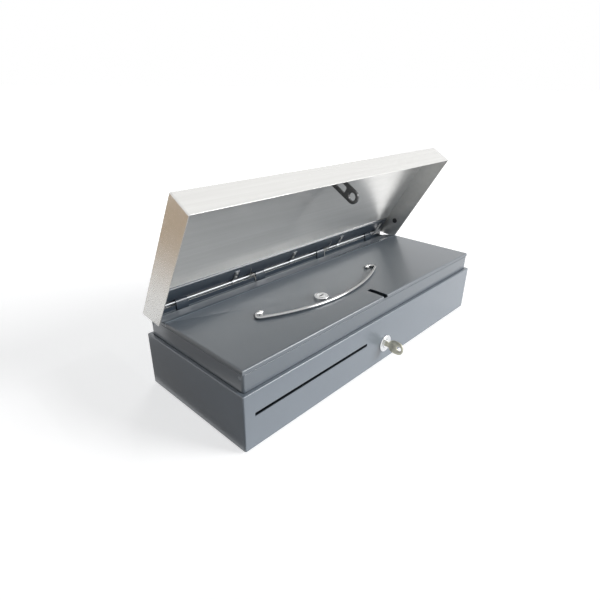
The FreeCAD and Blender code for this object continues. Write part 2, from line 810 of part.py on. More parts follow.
def note_dividers():
    """Upright plates between the note compartments."""
    low = TRAY_INSIDE_Z
    y0 = PARTITION_Y + PARTITION_T
    y1 = TRAY_REAR - TRAY_T
    pitch = 2 * (TRAY_X - TRAY_T) / (DIVIDER_COUNT + 1)
    plates = []
    for x in spread(DIVIDER_COUNT, pitch):
        plates.append(box(x - DIVIDER_T / 2, x + DIVIDER_T / 2, y0, y1, low, low + DIVIDER_H))
    return group(plates)


# Cover


def insert_cover():
    """Folded lid of the money tray, bent down to a rolled hem at the rear."""
    front = -COLLAR_Y
    outline = [(front, COVER_LOW_Z), (front, COVER_TOP_Z), (COVER_BEND_Y, COVER_TOP_Z)]
    outline += [(COVER_REAR, COVER_TOP_Z - COVER_FALL), (COVER_REAR, COVER_LOW_Z)]
    outer = prism_x(outline, -COLLAR_X, COLLAR_X)
    flat = lambda p: p.z > COVER_TOP_Z - 0.01
    rounded = lambda a, b: flat(a) and flat(b) and min(a.y, b.y) < COVER_BEND_Y - 1
    outer = fillet_edges(outer, COVER_EDGE_R, rounded)
    t = COVER_T
    rear = COVER_REAR - t
    inside = [(front + t, COVER_LOW_Z - 1), (front + t, COVER_TOP_Z - t)]
    inside += [(COVER_BEND_Y, COVER_TOP_Z - t), (rear, cover_line(rear) - t)]
    inside.append((rear, COVER_LOW_Z - 1))
    inner = prism_x(inside, -COLLAR_X + t, COLLAR_X - t)
    shell = cut(outer.cut(inner), cover_holes())
    half = COLLAR_X - HEM_END
    return join([shell, rod(HEM_R, vec(-half, HEM_Y, HEM_Z), X, 2 * half)])


def cover_holes():
    """The striker's slot, which runs a little way down the front, and the lock's hole."""
    front = -COLLAR_Y
    x0, x1 = LATCH_X - SLOT_W / 2, LATCH_X + SLOT_W / 2
    low = COVER_TOP_Z - SLOT_FALL
    slot = box(x0, x1, front - 1, front + SLOT_REACH, low, CLOSED_H)
    place = vec(COVER_LOCK_X, COVER_LOCK_Y, COVER_UNDER_Z - 1)
    return [slot, rod(COVER_LOCK_R + RUN_FIT, place, Z, COVER_T + 2)]


def bail_handle():
    """Wire bail: two turned-in ends, small bends and one long shallow arc."""
    d, rb = HANDLE_REACH, HANDLE_BEND_R
    h = HANDLE_HALF - rb
    big = (h * h / (d - 2 * rb) + d) / 2
    cy = big - d
    reach = math.hypot(h, cy + rb)
    tx, ty = h * big / reach, cy - (cy + rb) * big / reach

    def at(x, y):
        return vec(HANDLE_X + x, HANDLE_Y + y, HANDLE_Z)

    def half(side):
        end = at(side * HANDLE_END, 0)
        bend = at(side * h, 0)
        out = Part.LineSegment(end, bend).toShape()
        outward = vec(side, 0, 0)
        return end, [out, arc_from(bend, outward, at(side * tx, ty))]

    start, left = half(-1)
    _, right = half(1)
    middle = Part.Arc(at(-tx, ty), at(0, -d), at(tx, ty)).toShape()
    edges = left + [middle] + right[::-1]
    return tube(edges, start, vec(-1, 0, 0), HANDLE_WIRE_R)


def handle_ears():
    """Saddles on the cover that hold the turned-in ends of the bail."""
    ears = []
    for side in (-1, 1):
        x = HANDLE_X + side * EAR_X
        x0, x1 = x - EAR_T / 2, x + EAR_T / 2
        top = HANDLE_Z + HANDLE_WIRE_R
        block = box(x0, x1, HANDLE_Y - EAR_W / 2, HANDLE_Y + EAR_W / 2, COVER_TOP_Z, HANDLE_Z)
        crown_r = HANDLE_WIRE_R + RUN_FIT + 0.35
        crown = rod(crown_r, vec(x0, HANDLE_Y, HANDLE_Z), X, EAR_T)
        crown = crown.common(box(x0, x1, -CASE_D, CASE_D, COVER_TOP_Z, top + 0.4))
        hole = rod(HANDLE_WIRE_R + RUN_FIT, vec(x0 - 1, HANDLE_Y, HANDLE_Z), X, EAR_T + 2)
        ears.append(join([block, crown]).cut(hole))
    return group(ears)


# Locks


def lock_body():
    """Housing of the front cam lock, with its round face plate."""
    face = -HALF_D
    barrel = rod(LOCK_R, vec(LOCK_X, face, LOCK_Z), Y, LOCK_LEN)
    bezel = Part.makeCone(
        BEZEL_R - 1, BEZEL_R, BEZEL_H, vec(LOCK_X, face - BEZEL_H, LOCK_Z), Y
    )
    bore = rod(
        LOCK_BORE_R + RUN_FIT, vec(LOCK_X, face - BEZEL_H - 1, LOCK_Z), Y,
        LOCK_LEN + BEZEL_H + 2,
    )
    return join([barrel, bezel]).cut(bore)


def hex_nut(radius, thickness, bore):
    """A six-sided nut on the origin, with its axis along Z."""
    corners = []
    for i in range(6):
        a = math.radians(60 * i)
        corners.append(vec(radius * math.cos(a), radius * math.sin(a), 0))
    face = Part.Face(Part.makePolygon(corners + corners[:1]))
    return face.extrude(vec(0, 0, thickness)).cut(rod(bore, vec(0, 0, -1), Z, thickness + 2))


def lock_nut():
    nut = hex_nut(NUT_R, NUT_T, LOCK_R + RUN_FIT)
    nut.rotate(vec(0, 0, 0), X, -90)
    nut.translate(vec(LOCK_X, -HALF_D + CASE_T, LOCK_Z))
    return nut


def lock_plug():
    """Turning core of the front lock, with the keyway open at its face."""
    face = -HALF_D - BEZEL_H - PLUG_PROUD
    back = -HALF_D + LOCK_LEN
    plug = rod(LOCK_BORE_R, vec(LOCK_X, face, LOCK_Z), Y, back - face)
    gap_t = KEY_BLADE_T / 2 + KEY_FIT
    gap_w = KEY_BLADE_W / 2 + KEY_FIT
    slot = box(
        LOCK_X - gap_t, LOCK_X + gap_t, face - 1, face + KEY_IN + KEY_FIT * 2,
        LOCK_Z - gap_w, LOCK_Z + gap_w,
    )
    return plug.cut(slot)


def lock_cam():
    """Cam on the back of the plug, pointing down when locked."""
    y = -HALF_D + LOCK_LEN
    hub = rod(CAM_W / 2, vec(LOCK_X, y, LOCK_Z), Y, CAM_T)
    half = CAM_W / 2
    arm = box(LOCK_X - half, LOCK_X + half, y, y + CAM_T, LOCK_Z - CAM_REACH, LOCK_Z)
    return join([hub, arm])


def lock_cam_screw():
    y = -HALF_D + LOCK_LEN + CAM_T
    return rod(CAM_SCREW_R, vec(LOCK_X, y, LOCK_Z), Y, CAM_SCREW_H)


def front_key():
    """Key in the front lock: toothed blade, neck and round bow."""
    face = -HALF_D - BEZEL_H - PLUG_PROUD
    t, w = KEY_BLADE_T / 2, KEY_BLADE_W / 2
    blade = box(LOCK_X - t, LOCK_X + t, face - KEY_NECK, face + KEY_IN, LOCK_Z - w, LOCK_Z + w)
    for i in range(4):
        y = face + 3 + i * 3
        depth = 0.8 + 0.5 * (i % 2)
        bite = [(y, LOCK_Z + w + 0.1), (y + 2.4, LOCK_Z + w + 0.1), (y + 1.2, LOCK_Z + w - depth)]
        blade = blade.cut(prism_x(bite, LOCK_X - t - 1, LOCK_X + t + 1))
    centre = face - KEY_NECK - BOW_R + 1.5
    bow = rod(BOW_R, vec(LOCK_X - BOW_T / 2, centre, LOCK_Z), X, BOW_T)
    trim = box(
        LOCK_X - BOW_T, LOCK_X + BOW_T, centre - BOW_R, centre + BOW_R,
        LOCK_Z - BOW_R * 0.86, LOCK_Z + BOW_R * 0.86,
    )
    hole_y = centre - BOW_R * 0.45
    hole = rod(BOW_HOLE_R, vec(LOCK_X - BOW_T, hole_y, LOCK_Z), X, 2 * BOW_T)
    return join([blade, bow.common(trim)]).cut(hole)


def cover_lock_body():
    """Housing of the cover lock, standing a little above the cover."""
    place = vec(COVER_LOCK_X, COVER_LOCK_Y, COVER_TOP_Z - COVER_LOCK_DEPTH)
    barrel = rod(COVER_LOCK_R, place, Z, COVER_LOCK_DEPTH)
    top = vec(COVER_LOCK_X, COVER_LOCK_Y, COVER_TOP_Z)
    bezel = Part.makeCone(COVER_BEZEL_R, COVER_BEZEL_R - 0.8, COVER_BEZEL_H, top, Z)
    bore = rod(COVER_PLUG_R + RUN_FIT, place - Z, Z, COVER_LOCK_DEPTH + COVER_BEZEL_H + 2)
    return join([barrel, bezel]).cut(bore)


def cover_lock_nut():
    nut = hex_nut(COVER_LOCK_R + 3, NUT_T, COVER_LOCK_R + RUN_FIT)
    nut.translate(vec(COVER_LOCK_X, COVER_LOCK_Y, COVER_UNDER_Z - NUT_T))
    return nut


def cover_lock_plug():
    low = COVER_TOP_Z - COVER_LOCK_DEPTH
    high = COVER_TOP_Z + COVER_BEZEL_H - 0.3
    plug = rod(COVER_PLUG_R, vec(COVER_LOCK_X, COVER_LOCK_Y, low), Z, high - low)
    gap_t = KEY_BLADE_T / 2 + KEY_FIT
    gap_w = KEY_BLADE_W / 2 + KEY_FIT
    slot = box(
        COVER_LOCK_X - gap_w, COVER_LOCK_X + gap_w, COVER_LOCK_Y - gap_t,
        COVER_LOCK_Y + gap_t, high - KEY_IN, high + 1,
    )
    return plug.cut(slot)


def cover_lock_cam():
    """Cam shown unlocked; a quarter turn takes it into the partition's window."""
    z = COVER_CAM_Z
    hub = rod(CAM_W / 2, vec(COVER_LOCK_X, COVER_LOCK_Y, z), Z, CAM_T)
    half = CAM_W / 2
    tip = COVER_LOCK_X + COVER_CAM_REACH
    arm = box(COVER_LOCK_X, tip, COVER_LOCK_Y - half, COVER_LOCK_Y + half, z, z + CAM_T)
    return join([hub, arm])


def cover_cam_screw():
    z = COVER_CAM_Z - CAM_SCREW_H
    return rod(CAM_SCREW_R, vec(COVER_LOCK_X, COVER_LOCK_Y, z), Z, CAM_SCREW_H)


# Latch


def upright_places():
    """Front faces of the latch frame's two uprights."""
    front = -HALF_D + LATCH_FRONT_GAP
    return front, PLUNGER_Y + UPRIGHT_BACK


def latch_frame():
    """Bracket on the floor with two uprights that carry the hook's pin."""
    front, back = upright_places()
    low = FLOOR_Z
    top = HOOK_Z + HOOK_HUB_R
    left = HOOK_X - HOOK_HUB_R - 3
    base = box(left, SOLENOID_X + SOLENOID_L, front, back + UPRIGHT_T, low, low + LATCH_BASE_T)
    front_plate = box(left, LOCK_X - LOCK_R - 1, front, front + UPRIGHT_T, low, top)
    back_plate = box(left, HOOK_X + HOOK_HUB_R, back, back + UPRIGHT_T, low, top)
    hole = rod(HOOK_PIN_R + RUN_FIT, vec(HOOK_X, front - 1, HOOK_Z), Y, back - front + 4)
    rise = HOOK_Z - LOWER_ARM - SOLENOID_HALF
    pedestal = box(
        SOLENOID_X, SOLENOID_X + SOLENOID_L, PLUNGER_Y - SOLENOID_HALF,
        PLUNGER_Y + UPRIGHT_BACK, low + LATCH_BASE_T, rise,
    )
    return cut(join([base, front_plate, back_plate, pedestal]), [hole])


def hook_pin():
    front, back = upright_places()
    pin = rod(HOOK_PIN_R, vec(HOOK_X, front - 0.8, HOOK_Z), Y, back + UPRIGHT_T + 0.8 - front + 0.8)
    head = rod(HOOK_PIN_R + 1.2, vec(HOOK_X, front - 0.8 - 1.2, HOOK_Z), Y, 1.2)
    return join([pin, head])


def hook_lever():
    """Rocking hook: nose through the striker's eye, arm on the plunger."""
    y0 = RING_Y - HOOK_T / 2
    arm_y = PLUNGER_Y - HOOK_T / 2
    hub = rod(HOOK_HUB_R, vec(HOOK_X, y0 - 1, HOOK_Z), Y, arm_y + HOOK_T + 1 - y0)
    half = HOOK_ARM_W / 2
    top = RING_Z + NOSE_H
    upper = box(HOOK_X - half, HOOK_X + half, y0, y0 + HOOK_T, HOOK_Z, top)
    n = NOSE_H / 2
    tip = LATCH_X + NOSE_PAST
    nose = [(HOOK_X, RING_Z - n), (tip - 1, RING_Z - n), (tip, RING_Z - n / 2)]
    nose += [(tip - 3, RING_Z + n), (HOOK_X, RING_Z + n)]
    nose = prism_y(nose, y0, y0 + HOOK_T)
    side = LOWER_ARM_W / 2
    z1 = HOOK_Z - LOWER_ARM - side
    lower = box(HOOK_X - side, HOOK_X + side, arm_y, arm_y + HOOK_T, z1, HOOK_Z)
    bore = rod(HOOK_PIN_R + RUN_FIT, vec(HOOK_X, y0 - 3, HOOK_Z), Y, arm_y - y0 + 10)
    gap = PLUNGER_PIN_R + PIN_SLOT_GAP
    pin_z = HOOK_Z - LOWER_ARM
    slot = box(HOOK_X - gap, HOOK_X + gap, arm_y - 1, arm_y + HOOK_T + 1, pin_z - 2.2, pin_z + 1.6)
    return cut(join([hub, upper, nose, lower]), [bore, slot])


def plunger_collar_x():
    return HOOK_X + LOWER_ARM_W / 2 + 4.0


def plunger():
    """Solenoid core with a tongue and pin that pull the hook's arm."""
    z = HOOK_Z - LOWER_ARM
    collar = plunger_collar_x()
    length = SOLENOID_X + SOLENOID_L * 0.7 - collar
    core = rod(PLUNGER_R, vec(collar, PLUNGER_Y, z), X, length)
    ring = rod(RETURN_R + 1, vec(collar - 1.5, PLUNGER_Y, z), X, 1.5)
    tongue_y = PLUNGER_Y + HOOK_T / 2 + 0.3
    tongue = box(HOOK_X - 2.5, collar - 1, tongue_y, tongue_y + 2, z - 2.2, z + 2.2)
    length = HOOK_T + 0.6 + 0.6
    pin = rod(PLUNGER_PIN_R, vec(HOOK_X, tongue_y + 0.2, z), Y * -1, length)
    return join([core, ring, tongue, pin])


def solenoid():
    """Iron frame round a coil, open where the plunger enters."""
    z = HOOK_Z - LOWER_ARM
    h, t = SOLENOID_HALF, SOLENOID_T
    x0, x1 = SOLENOID_X, SOLENOID_X + SOLENOID_L
    y = PLUNGER_Y
    frame = box(x0, x1, y - h, y + h, z - h, z + h)
    room = box(x0 + t, x1 - t, y - h - 1, y + h + 1, z - h + t, z + h - t)
    coil = rod(COIL_R - 0.1, vec(x0 + t, y, z), X, x1 - x0 - 2 * t)
    bore = rod(PLUNGER_R + RUN_FIT, vec(x0 - 1, y, z), X, SOLENOID_L - t)
    return join([frame.cut(room), coil]).cut(bore)


NODES = {
    "case_shell": case_shell,
    "collar_frame": collar_frame,
    "hinge_wall": hinge_wall,
    "collar_rivets": collar_rivets,
    "rubber_feet": rubber_feet,
    "foot_rivets": foot_rivets,
    "tray_ledges": tray_ledges,
    "cable_socket": cable_socket,
    "hinge_lugs": hinge_lugs,
    "lug_rivets": lug_rivets,
    "hinge_rod": hinge_rod,
    "hinge_straps": hinge_straps,
    "strap_rivets": strap_rivets,
    "lid_hinge_leaf": lid_hinge_leaf,
    "torsion_spring_right": torsion_spring,
    "torsion_spring_left": lambda: mirror_x(torsion_spring()),
    "lid_shell": lid_shell,
    "lid_buffers": lid_buffers,
    "striker": striker,
    "striker_rivets": striker_rivets,
    "insert_tray": insert_tray,
    "centre_partition": centre_partition,
    "coin_tray_left": coin_tray_left,
    "coin_tray_right": coin_tray_right,
    "note_dividers": note_dividers,
    "insert_cover": insert_cover,
    "handle_ears": handle_ears,
    "bail_handle": bail_handle,
    "front_lock_body": lock_body,
    "front_lock_nut": lock_nut,
    "front_lock_plug": lock_plug,
    "front_lock_cam": lock_cam,
    "front_cam_screw": lock_cam_screw,
    "front_key": front_key,
    "cover_lock_body": cover_lock_body,
    "cover_lock_nut": cover_lock_nut,
    "cover_lock_plug": cover_lock_plug,
    "cover_lock_cam": cover_lock_cam,
    "cover_cam_screw": cover_cam_screw,
    "latch_frame": latch_frame,
    "hook_pin": hook_pin,
    "hook_lever": hook_lever,
    "plunger": plunger,
    "return_spring": return_spring,
    "solenoid": solenoid,
}


def main():
    os.makedirs("parts", exist_ok=True)
    for name, make in NODES.items():
        shape = make()
        shape.exportStep("parts/" + name + ".step")
        print(name, len(shape.Solids), round(shape.Volume, 2), shape.isValid())


main()
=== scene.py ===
"""Looks of an open flip-top cash drawer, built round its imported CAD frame.

The CAD nodes give every place and size. This file gives them finishes, softens the folds of the
sheet metal, and makes the turned, cast and bent pieces again as smooth surfaces.
"""
import json
import math

import bmesh
import bpy
import numpy as np
from bpy.props import FloatProperty, FloatVectorProperty, IntProperty, PointerProperty
from mathutils import Matrix, Vector


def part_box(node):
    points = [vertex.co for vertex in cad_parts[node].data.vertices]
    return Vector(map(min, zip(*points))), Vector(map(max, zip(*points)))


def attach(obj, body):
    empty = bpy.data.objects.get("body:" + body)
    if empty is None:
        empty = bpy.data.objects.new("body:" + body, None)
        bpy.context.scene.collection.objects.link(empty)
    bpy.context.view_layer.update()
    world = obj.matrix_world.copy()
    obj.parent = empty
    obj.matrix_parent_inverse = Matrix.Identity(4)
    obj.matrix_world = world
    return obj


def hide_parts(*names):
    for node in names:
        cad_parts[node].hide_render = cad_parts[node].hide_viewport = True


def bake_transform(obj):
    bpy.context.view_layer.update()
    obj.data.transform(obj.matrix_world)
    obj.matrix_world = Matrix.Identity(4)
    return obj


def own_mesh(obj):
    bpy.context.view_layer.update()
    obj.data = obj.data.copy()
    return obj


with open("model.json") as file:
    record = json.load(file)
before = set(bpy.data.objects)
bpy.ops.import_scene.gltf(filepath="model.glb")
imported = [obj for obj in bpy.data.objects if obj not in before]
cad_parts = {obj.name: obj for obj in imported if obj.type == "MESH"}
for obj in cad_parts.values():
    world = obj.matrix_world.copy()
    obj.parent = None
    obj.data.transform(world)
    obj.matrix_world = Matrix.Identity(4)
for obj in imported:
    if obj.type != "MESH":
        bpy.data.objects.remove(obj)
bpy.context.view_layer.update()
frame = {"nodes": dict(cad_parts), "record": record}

bl_info = {
    "name": "Flip-top cash drawer",
    "version": (1, 0, 0),
    "blender": (4, 5, 0),
    "location": "View3D > Sidebar > Cash Drawer",
    "description": "Finishes and smooth pieces of an open flip-top cash drawer",
    "category": "Object",
}

MM = 0.001
LID_LEAN = math.radians(59.7)
SENSOR = 36.0
PIECE_CREASE = math.radians(38)
SHEET_CREASE = math.radians(30)
FOLD_ANGLE = math.radians(40)
FLAT_ANGLE = math.radians(0.5)
PIECE_MERGE = 1e-7
CAD_MERGE = 2e-6


class DrawerSizes(bpy.types.PropertyGroup):
    """Sizes that only the looks need."""

    hinge_line: FloatVectorProperty(
        name="Hinge line", description="Distance to the rear and height of the lid's axis",
        size=2, default=(82 * MM, 95.8 * MM), unit="LENGTH")
    cover_bend: FloatProperty(
        name="Cover bend", description="Where the cover bends down, to the rear of its middle",
        default=49 * MM, unit="LENGTH")
    # The pale line along the cover's bend is a painted highlight, not rubbed paint
    bend_highlight_half: FloatProperty(
        name="Crease", description="Half the width of the rubbed line along the cover's bend",
        default=0.9 * MM, unit="LENGTH")
    # The dark sheet over the rod, sized here, is painted shade under the lid, not a real film
    liner: FloatProperty(
        name="Hinge liner", description="Thickness of the dark film over the rod",
        default=0.15 * MM, unit="LENGTH")
    shade_sheet_front: FloatProperty(
        name="Liner front", description="From the shut lid's axis forward to the liner's edge",
        default=5 * MM, unit="LENGTH")
    shade_sheet_rear: FloatProperty(
        name="Liner rear", description="From the shut lid's axis back to the liner's outer face",
        default=4.93 * MM, unit="LENGTH")
    shade_sheet_top: FloatProperty(
        name="Liner top", description="From the shut lid's axis up to the liner's outer face",
        default=3.13 * MM, unit="LENGTH")
    shade_sheet_drop: FloatProperty(
        name="Liner drop", description="From the shut lid's axis down to the liner's rear edge",
        default=0.7 * MM, unit="LENGTH")
    shade_sheet_end_gap: FloatProperty(
        name="Liner end gap", description="From each side of the lid to the liner's end",
        default=1.1 * MM, unit="LENGTH")
    spring_foot: FloatProperty(
        name="Spring foot", description="Room of a coil's inner leg along the rod",
        default=1.3 * MM, unit="LENGTH")
    spring_arm: FloatProperty(
        name="Spring arm", description="Room of a coil's outer leg along the rod",
        default=1.8 * MM, unit="LENGTH")
    core_stroke: FloatProperty(
        name="Core stroke", description="How far the solenoid's core goes in",
        default=5.6 * MM, unit="LENGTH")
    bail_end: FloatProperty(
        name="Bail end", description="Where the turned-in ends of the bail meet, from its middle",
        default=97 * MM, unit="LENGTH")
    bail_bend: FloatProperty(
        name="Bail bend", description="Radius of the bail's two bends",
        default=5 * MM, unit="LENGTH")
    front_barrel: FloatProperty(
        name="Front lock barrel", description="Radius of the front lock's barrel",
        default=9.4 * MM, unit="LENGTH")
    cover_barrel: FloatProperty(
        name="Cover lock barrel", description="Radius of the cover lock's barrel",
        default=7.6 * MM, unit="LENGTH")
    plug_gap: FloatProperty(
        name="Plug gap", description="Room between a lock's plug and its bore",
        default=0.05 * MM, unit="LENGTH")
    bow_radius: FloatProperty(
        name="Key bow", description="Half the length of the key's bow",
        default=10.5 * MM, unit="LENGTH")
    bow_hole: FloatProperty(
        name="Bow hole", description="Radius of the hole in the bow",
        default=3.2 * MM, unit="LENGTH")
    blade_lap: FloatProperty(
        name="Blade lap", description="How far the blade runs back into the bow",
        default=1.5 * MM, unit="LENGTH")
    blade_half_width: FloatProperty(
        name="Blade width", description="Half the width of the key's blade",
        default=3.5 * MM, unit="LENGTH")
    blade_half_thick: FloatProperty(
        name="Blade thickness", description="Half the thickness of the key's blade",
        default=0.8 * MM, unit="LENGTH")
    cut_pitch: FloatProperty(
        name="Cut pitch", description="From one cut of the key to the next",
        default=3 * MM, unit="LENGTH")
    cut_depth: FloatProperty(
        name="Cut depth", description="Depth of the key's cuts",
        default=1.1 * MM, unit="LENGTH")
    cut_reach: FloatProperty(
        name="Cut reach", description="How far from the tip the key is cut",
        default=13 * MM, unit="LENGTH")
    nose: FloatProperty(
        name="Key nose", description="Length of the blade's narrowing tip",
        default=2.2 * MM, unit="LENGTH")
    foot_radius: FloatProperty(
        name="Foot", description="Radius of a rubber foot",
        default=8 * MM, unit="LENGTH")
    sole_pitch: FloatProperty(
        name="Sole pitch", description="From one rib of the sole to the next",
        default=2 * MM, unit="LENGTH")
    sole_groove: FloatProperty(
        name="Sole groove", description="Depth of the grooves between the ribs",
        default=0.35 * MM, unit="LENGTH")
    sole_middle: FloatProperty(
        name="Sole middle", description="Radius inside which the sole has no rib",
        default=1.6 * MM, unit="LENGTH")
    sheet_bend: FloatProperty(
        name="Bend radius", description="Softening of the folds of the sheet metal",
        default=0.35 * MM, unit="LENGTH")
    wire_sides: IntProperty(
        name="Wire sides", description="Sides of the round of a bent wire", default=28)
    grain_length: FloatProperty(
        name="Grain length", description="Length of the brush marks on the lid",
        default=90 * MM, unit="LENGTH")
    grain_width: FloatProperty(
        name="Grain width", description="Width of the brush marks on the lid",
        default=0.25 * MM, unit="LENGTH")
    coat_speck: FloatProperty(
        name="Coat texture", description="Size of the powder coat's orange peel",
        default=0.7 * MM, unit="LENGTH")
    camera_place: FloatVectorProperty(
        name="Camera", description="Where the photograph was taken from", size=3,
        default=(-0.43545, -0.3504, 0.3261), unit="LENGTH")
    camera_turn: FloatVectorProperty(
        name="Camera turn", description="Azimuth, dip and roll of the view", size=3,
        default=(math.radians(46.52), math.radians(25.49), math.radians(0.6)), subtype="EULER")
    lens: FloatProperty(
        name="Lens", description="Focal length on a 36 mm sensor", default=27.04)


class DrawerColours(bpy.types.PropertyGroup):
    """Colours of the finishes, linear."""

    coat: FloatVectorProperty(
        name="Powder coat", description="Dark blue-grey coat of case and cover", size=3,
        default=(0.158, 0.188, 0.222), subtype="COLOR")
    # Painted shade: a darker copy of the case's coat for the cover and its collar
    shaded_cover_coat: FloatVectorProperty(
        name="Cover coat", description="The same coat on the cover and its collar", size=3,
        default=(0.112, 0.134, 0.158), subtype="COLOR")
    # Painted shade: the blue-grey coat made much darker for the hinge in the shade of the lid
    shaded_hinge_coat: FloatVectorProperty(
        name="Hinge coat", description="Coat of the hinge channel and knuckles", size=3,
        default=(0.034, 0.046, 0.062), subtype="COLOR")
    lid: FloatVectorProperty(
        name="Lid steel", description="Brushed steel of the lid", size=3,
        default=(0.880, 0.865, 0.840), subtype="COLOR")
    bright: FloatVectorProperty(
        name="Bright steel", description="Pins and the handle's saddles", size=3,
        default=(0.680, 0.680, 0.670), subtype="COLOR")
    # Painted shade: a darker copy of the bright steel for the rod and straps under the lid
    rod: FloatVectorProperty(
        name="Hinge steel", description="Rod and straps of the hinge", size=3,
        default=(0.360, 0.375, 0.390), subtype="COLOR")
    zinc: FloatVectorProperty(
        name="Zinc plate", description="Plated inner sheet parts", size=3,
        default=(0.560, 0.580, 0.600), subtype="COLOR")
    black: FloatVectorProperty(
        name="Black", description="Striker and moulded parts", size=3,
        default=(0.014, 0.015, 0.017), subtype="COLOR")
    chrome: FloatVectorProperty(
        name="Chrome", description="Lock faces and handle wire", size=3,
        default=(0.780, 0.790, 0.800), subtype="COLOR")
    key: FloatVectorProperty(
        name="Key", description="Worn plate of the key", size=3,
        default=(0.420, 0.410, 0.340), subtype="COLOR")
    plastic: FloatVectorProperty(
        name="Plastic", description="Moulded coin trays", size=3,
        default=(0.030, 0.031, 0.034), subtype="COLOR")
    tape_dark: FloatVectorProperty(
        name="Tape, dark", description="Tape of the solenoid's coil, in its laps", size=3,
        default=(0.20, 0.045, 0.02), subtype="COLOR")
    tape_light: FloatVectorProperty(
        name="Tape, light", description="Tape of the solenoid's coil, between the laps", size=3,
        default=(0.34, 0.09, 0.035), subtype="COLOR")
    floor: FloatVectorProperty(
        name="Floor", description="Floor and backdrop", size=3,
        default=(0.900, 0.900, 0.900), subtype="COLOR")


class DrawerStage(bpy.types.PropertyGroup):
    """Floor and light."""

    floor_half: FloatProperty(
        name="Floor", description="Half the side of the floor", default=60.0, unit="LENGTH")
    floor_lift: FloatProperty(
        name="Floor lift", description="How far the seen floor is lifted to white", default=0.2)
    floor_glow: FloatProperty(
        name="Floor glow", description="Brightness that the floor is lifted to", default=3.15)
    sky: FloatProperty(
        name="Sky", description="Soft light from all round", default=0.20)
    sun_strength: FloatProperty(
        name="Sun", description="Strength of the broad low light", default=3.3)
    sun_gleam: FloatProperty(
        name="Sun gleam", description="Share of the low light that metal mirrors", default=0.55)
    sun_width: FloatProperty(
        name="Sun width", description="How broad the low light is", default=math.radians(30),
        subtype="ANGLE")
    sun_from: FloatVectorProperty(
        name="Sun from", description="The way towards the low light", size=3,
        default=(0.585, -0.745, 0.32), subtype="XYZ")
    window_place: FloatVectorProperty(
        name="Window", description="Middle of the square lamp", size=3,
        default=(1.25, 1.25, 0.62), unit="LENGTH")
    window_target: FloatVectorProperty(
        name="Window target", description="Where the square lamp points", size=3,
        default=(0.15, 0.0, 0.1), unit="LENGTH")
    window_side: FloatProperty(
        name="Window side", description="Side of the square lamp", default=0.9, unit="LENGTH")
    window_power: FloatProperty(
        name="Window power", description="Power of the square lamp in watts", default=12.0)
    card_height: FloatProperty(
        name="Card height", description="Height of the mirror cards over the floor",
        default=0.3 * MM, unit="LENGTH")
    near_card: FloatVectorProperty(
        name="Near card", description="Left, right, front and rear edge of the grey card", size=4,
        default=(-0.34, -0.235, -0.2, 0.2), unit="LENGTH")
    near_shade: FloatVectorProperty(
        name="Near shade", description="What metal mirrors of the grey card", size=3,
        default=(0.24, 0.23, 0.22), subtype="COLOR")
    warm_card: FloatVectorProperty(
        name="Warm card", description="Left, right, front and rear edge of the warm card", size=4,
        default=(-1.6, -0.44, 0.0, 1.6), unit="LENGTH")
    warm_shade: FloatVectorProperty(
        name="Warm shade", description="What metal mirrors of the warm card", size=3,
        default=(0.42, 0.28, 0.14), subtype="COLOR")


# Shader maths


class Val:
    """A shader value; +, -, * and / add Math nodes."""

    def __init__(self, paint, socket):
        self.paint = paint
        self.socket = socket

    def _math(self, operation, first, second):
        return self.paint.node("ShaderNodeMath", {"operation": operation}, {0: first, 1: second})

    def __add__(self, other):
        return self._math("ADD", self, other)

    def __radd__(self, other):
        return self._math("ADD", other, self)

    def __sub__(self, other):
        return self._math("SUBTRACT", self, other)

    def __rsub__(self, other):
        return self._math("SUBTRACT", other, self)

    def __mul__(self, other):
        return self._math("MULTIPLY", self, other)

    def __rmul__(self, other):
        return self._math("MULTIPLY", other, self)

    def __truediv__(self, other):
        return self._math("DIVIDE", self, other)

    def clamp(self, low=0.0, high=1.0):
        return self.paint.node("ShaderNodeClamp", {}, {"Value": self, "Min": low, "Max": high})


class Nodes:
    """The nodes of a material or of the world."""

    def __init__(self, owner):
        owner.use_nodes = True
        self.tree = owner.node_tree

    def node(self, kind, settings=None, sockets=None, out=0):
        """Adds any node: settings first, then the values or links of its sockets."""
        made = self.tree.nodes.new(kind)
        for key, value in (settings or {}).items():
            if key == "stops":
                ramp = made.color_ramp
                while len(ramp.elements) < len(value):
                    ramp.elements.new(0.5)
                for element, (place, shade) in zip(ramp.elements, value):
                    element.position = place
                    element.color = (shade, shade, shade, 1.0)
            else:
                setattr(made, key, value)
        for key, value in (sockets or {}).items():
            self.feed(made.inputs[key], value)
        return Val(self, made.outputs[out])

    def feed(self, socket, value):
        if isinstance(value, Val):
            self.tree.links.new(value.socket, socket)
        elif isinstance(value, (tuple, list)) and len(value) == 3 and socket.type == "RGBA":
            socket.default_value = (*value, 1.0)
        else:
            socket.default_value = value

    def seen(self):
        """1 on camera, glossy and transmission rays, 0 on the diffuse light's own rays."""
        rays = self.node("ShaderNodeLightPath").socket.node.outputs
        camera, glossy, through = (Val(self, rays[name]) for name in (
            "Is Camera Ray", "Is Glossy Ray", "Is Transmission Ray"))
        return (camera + glossy + through).clamp()

    def surface(self, shader, output):
        self.tree.links.new(shader.socket, self.tree.nodes[output].inputs["Surface"])


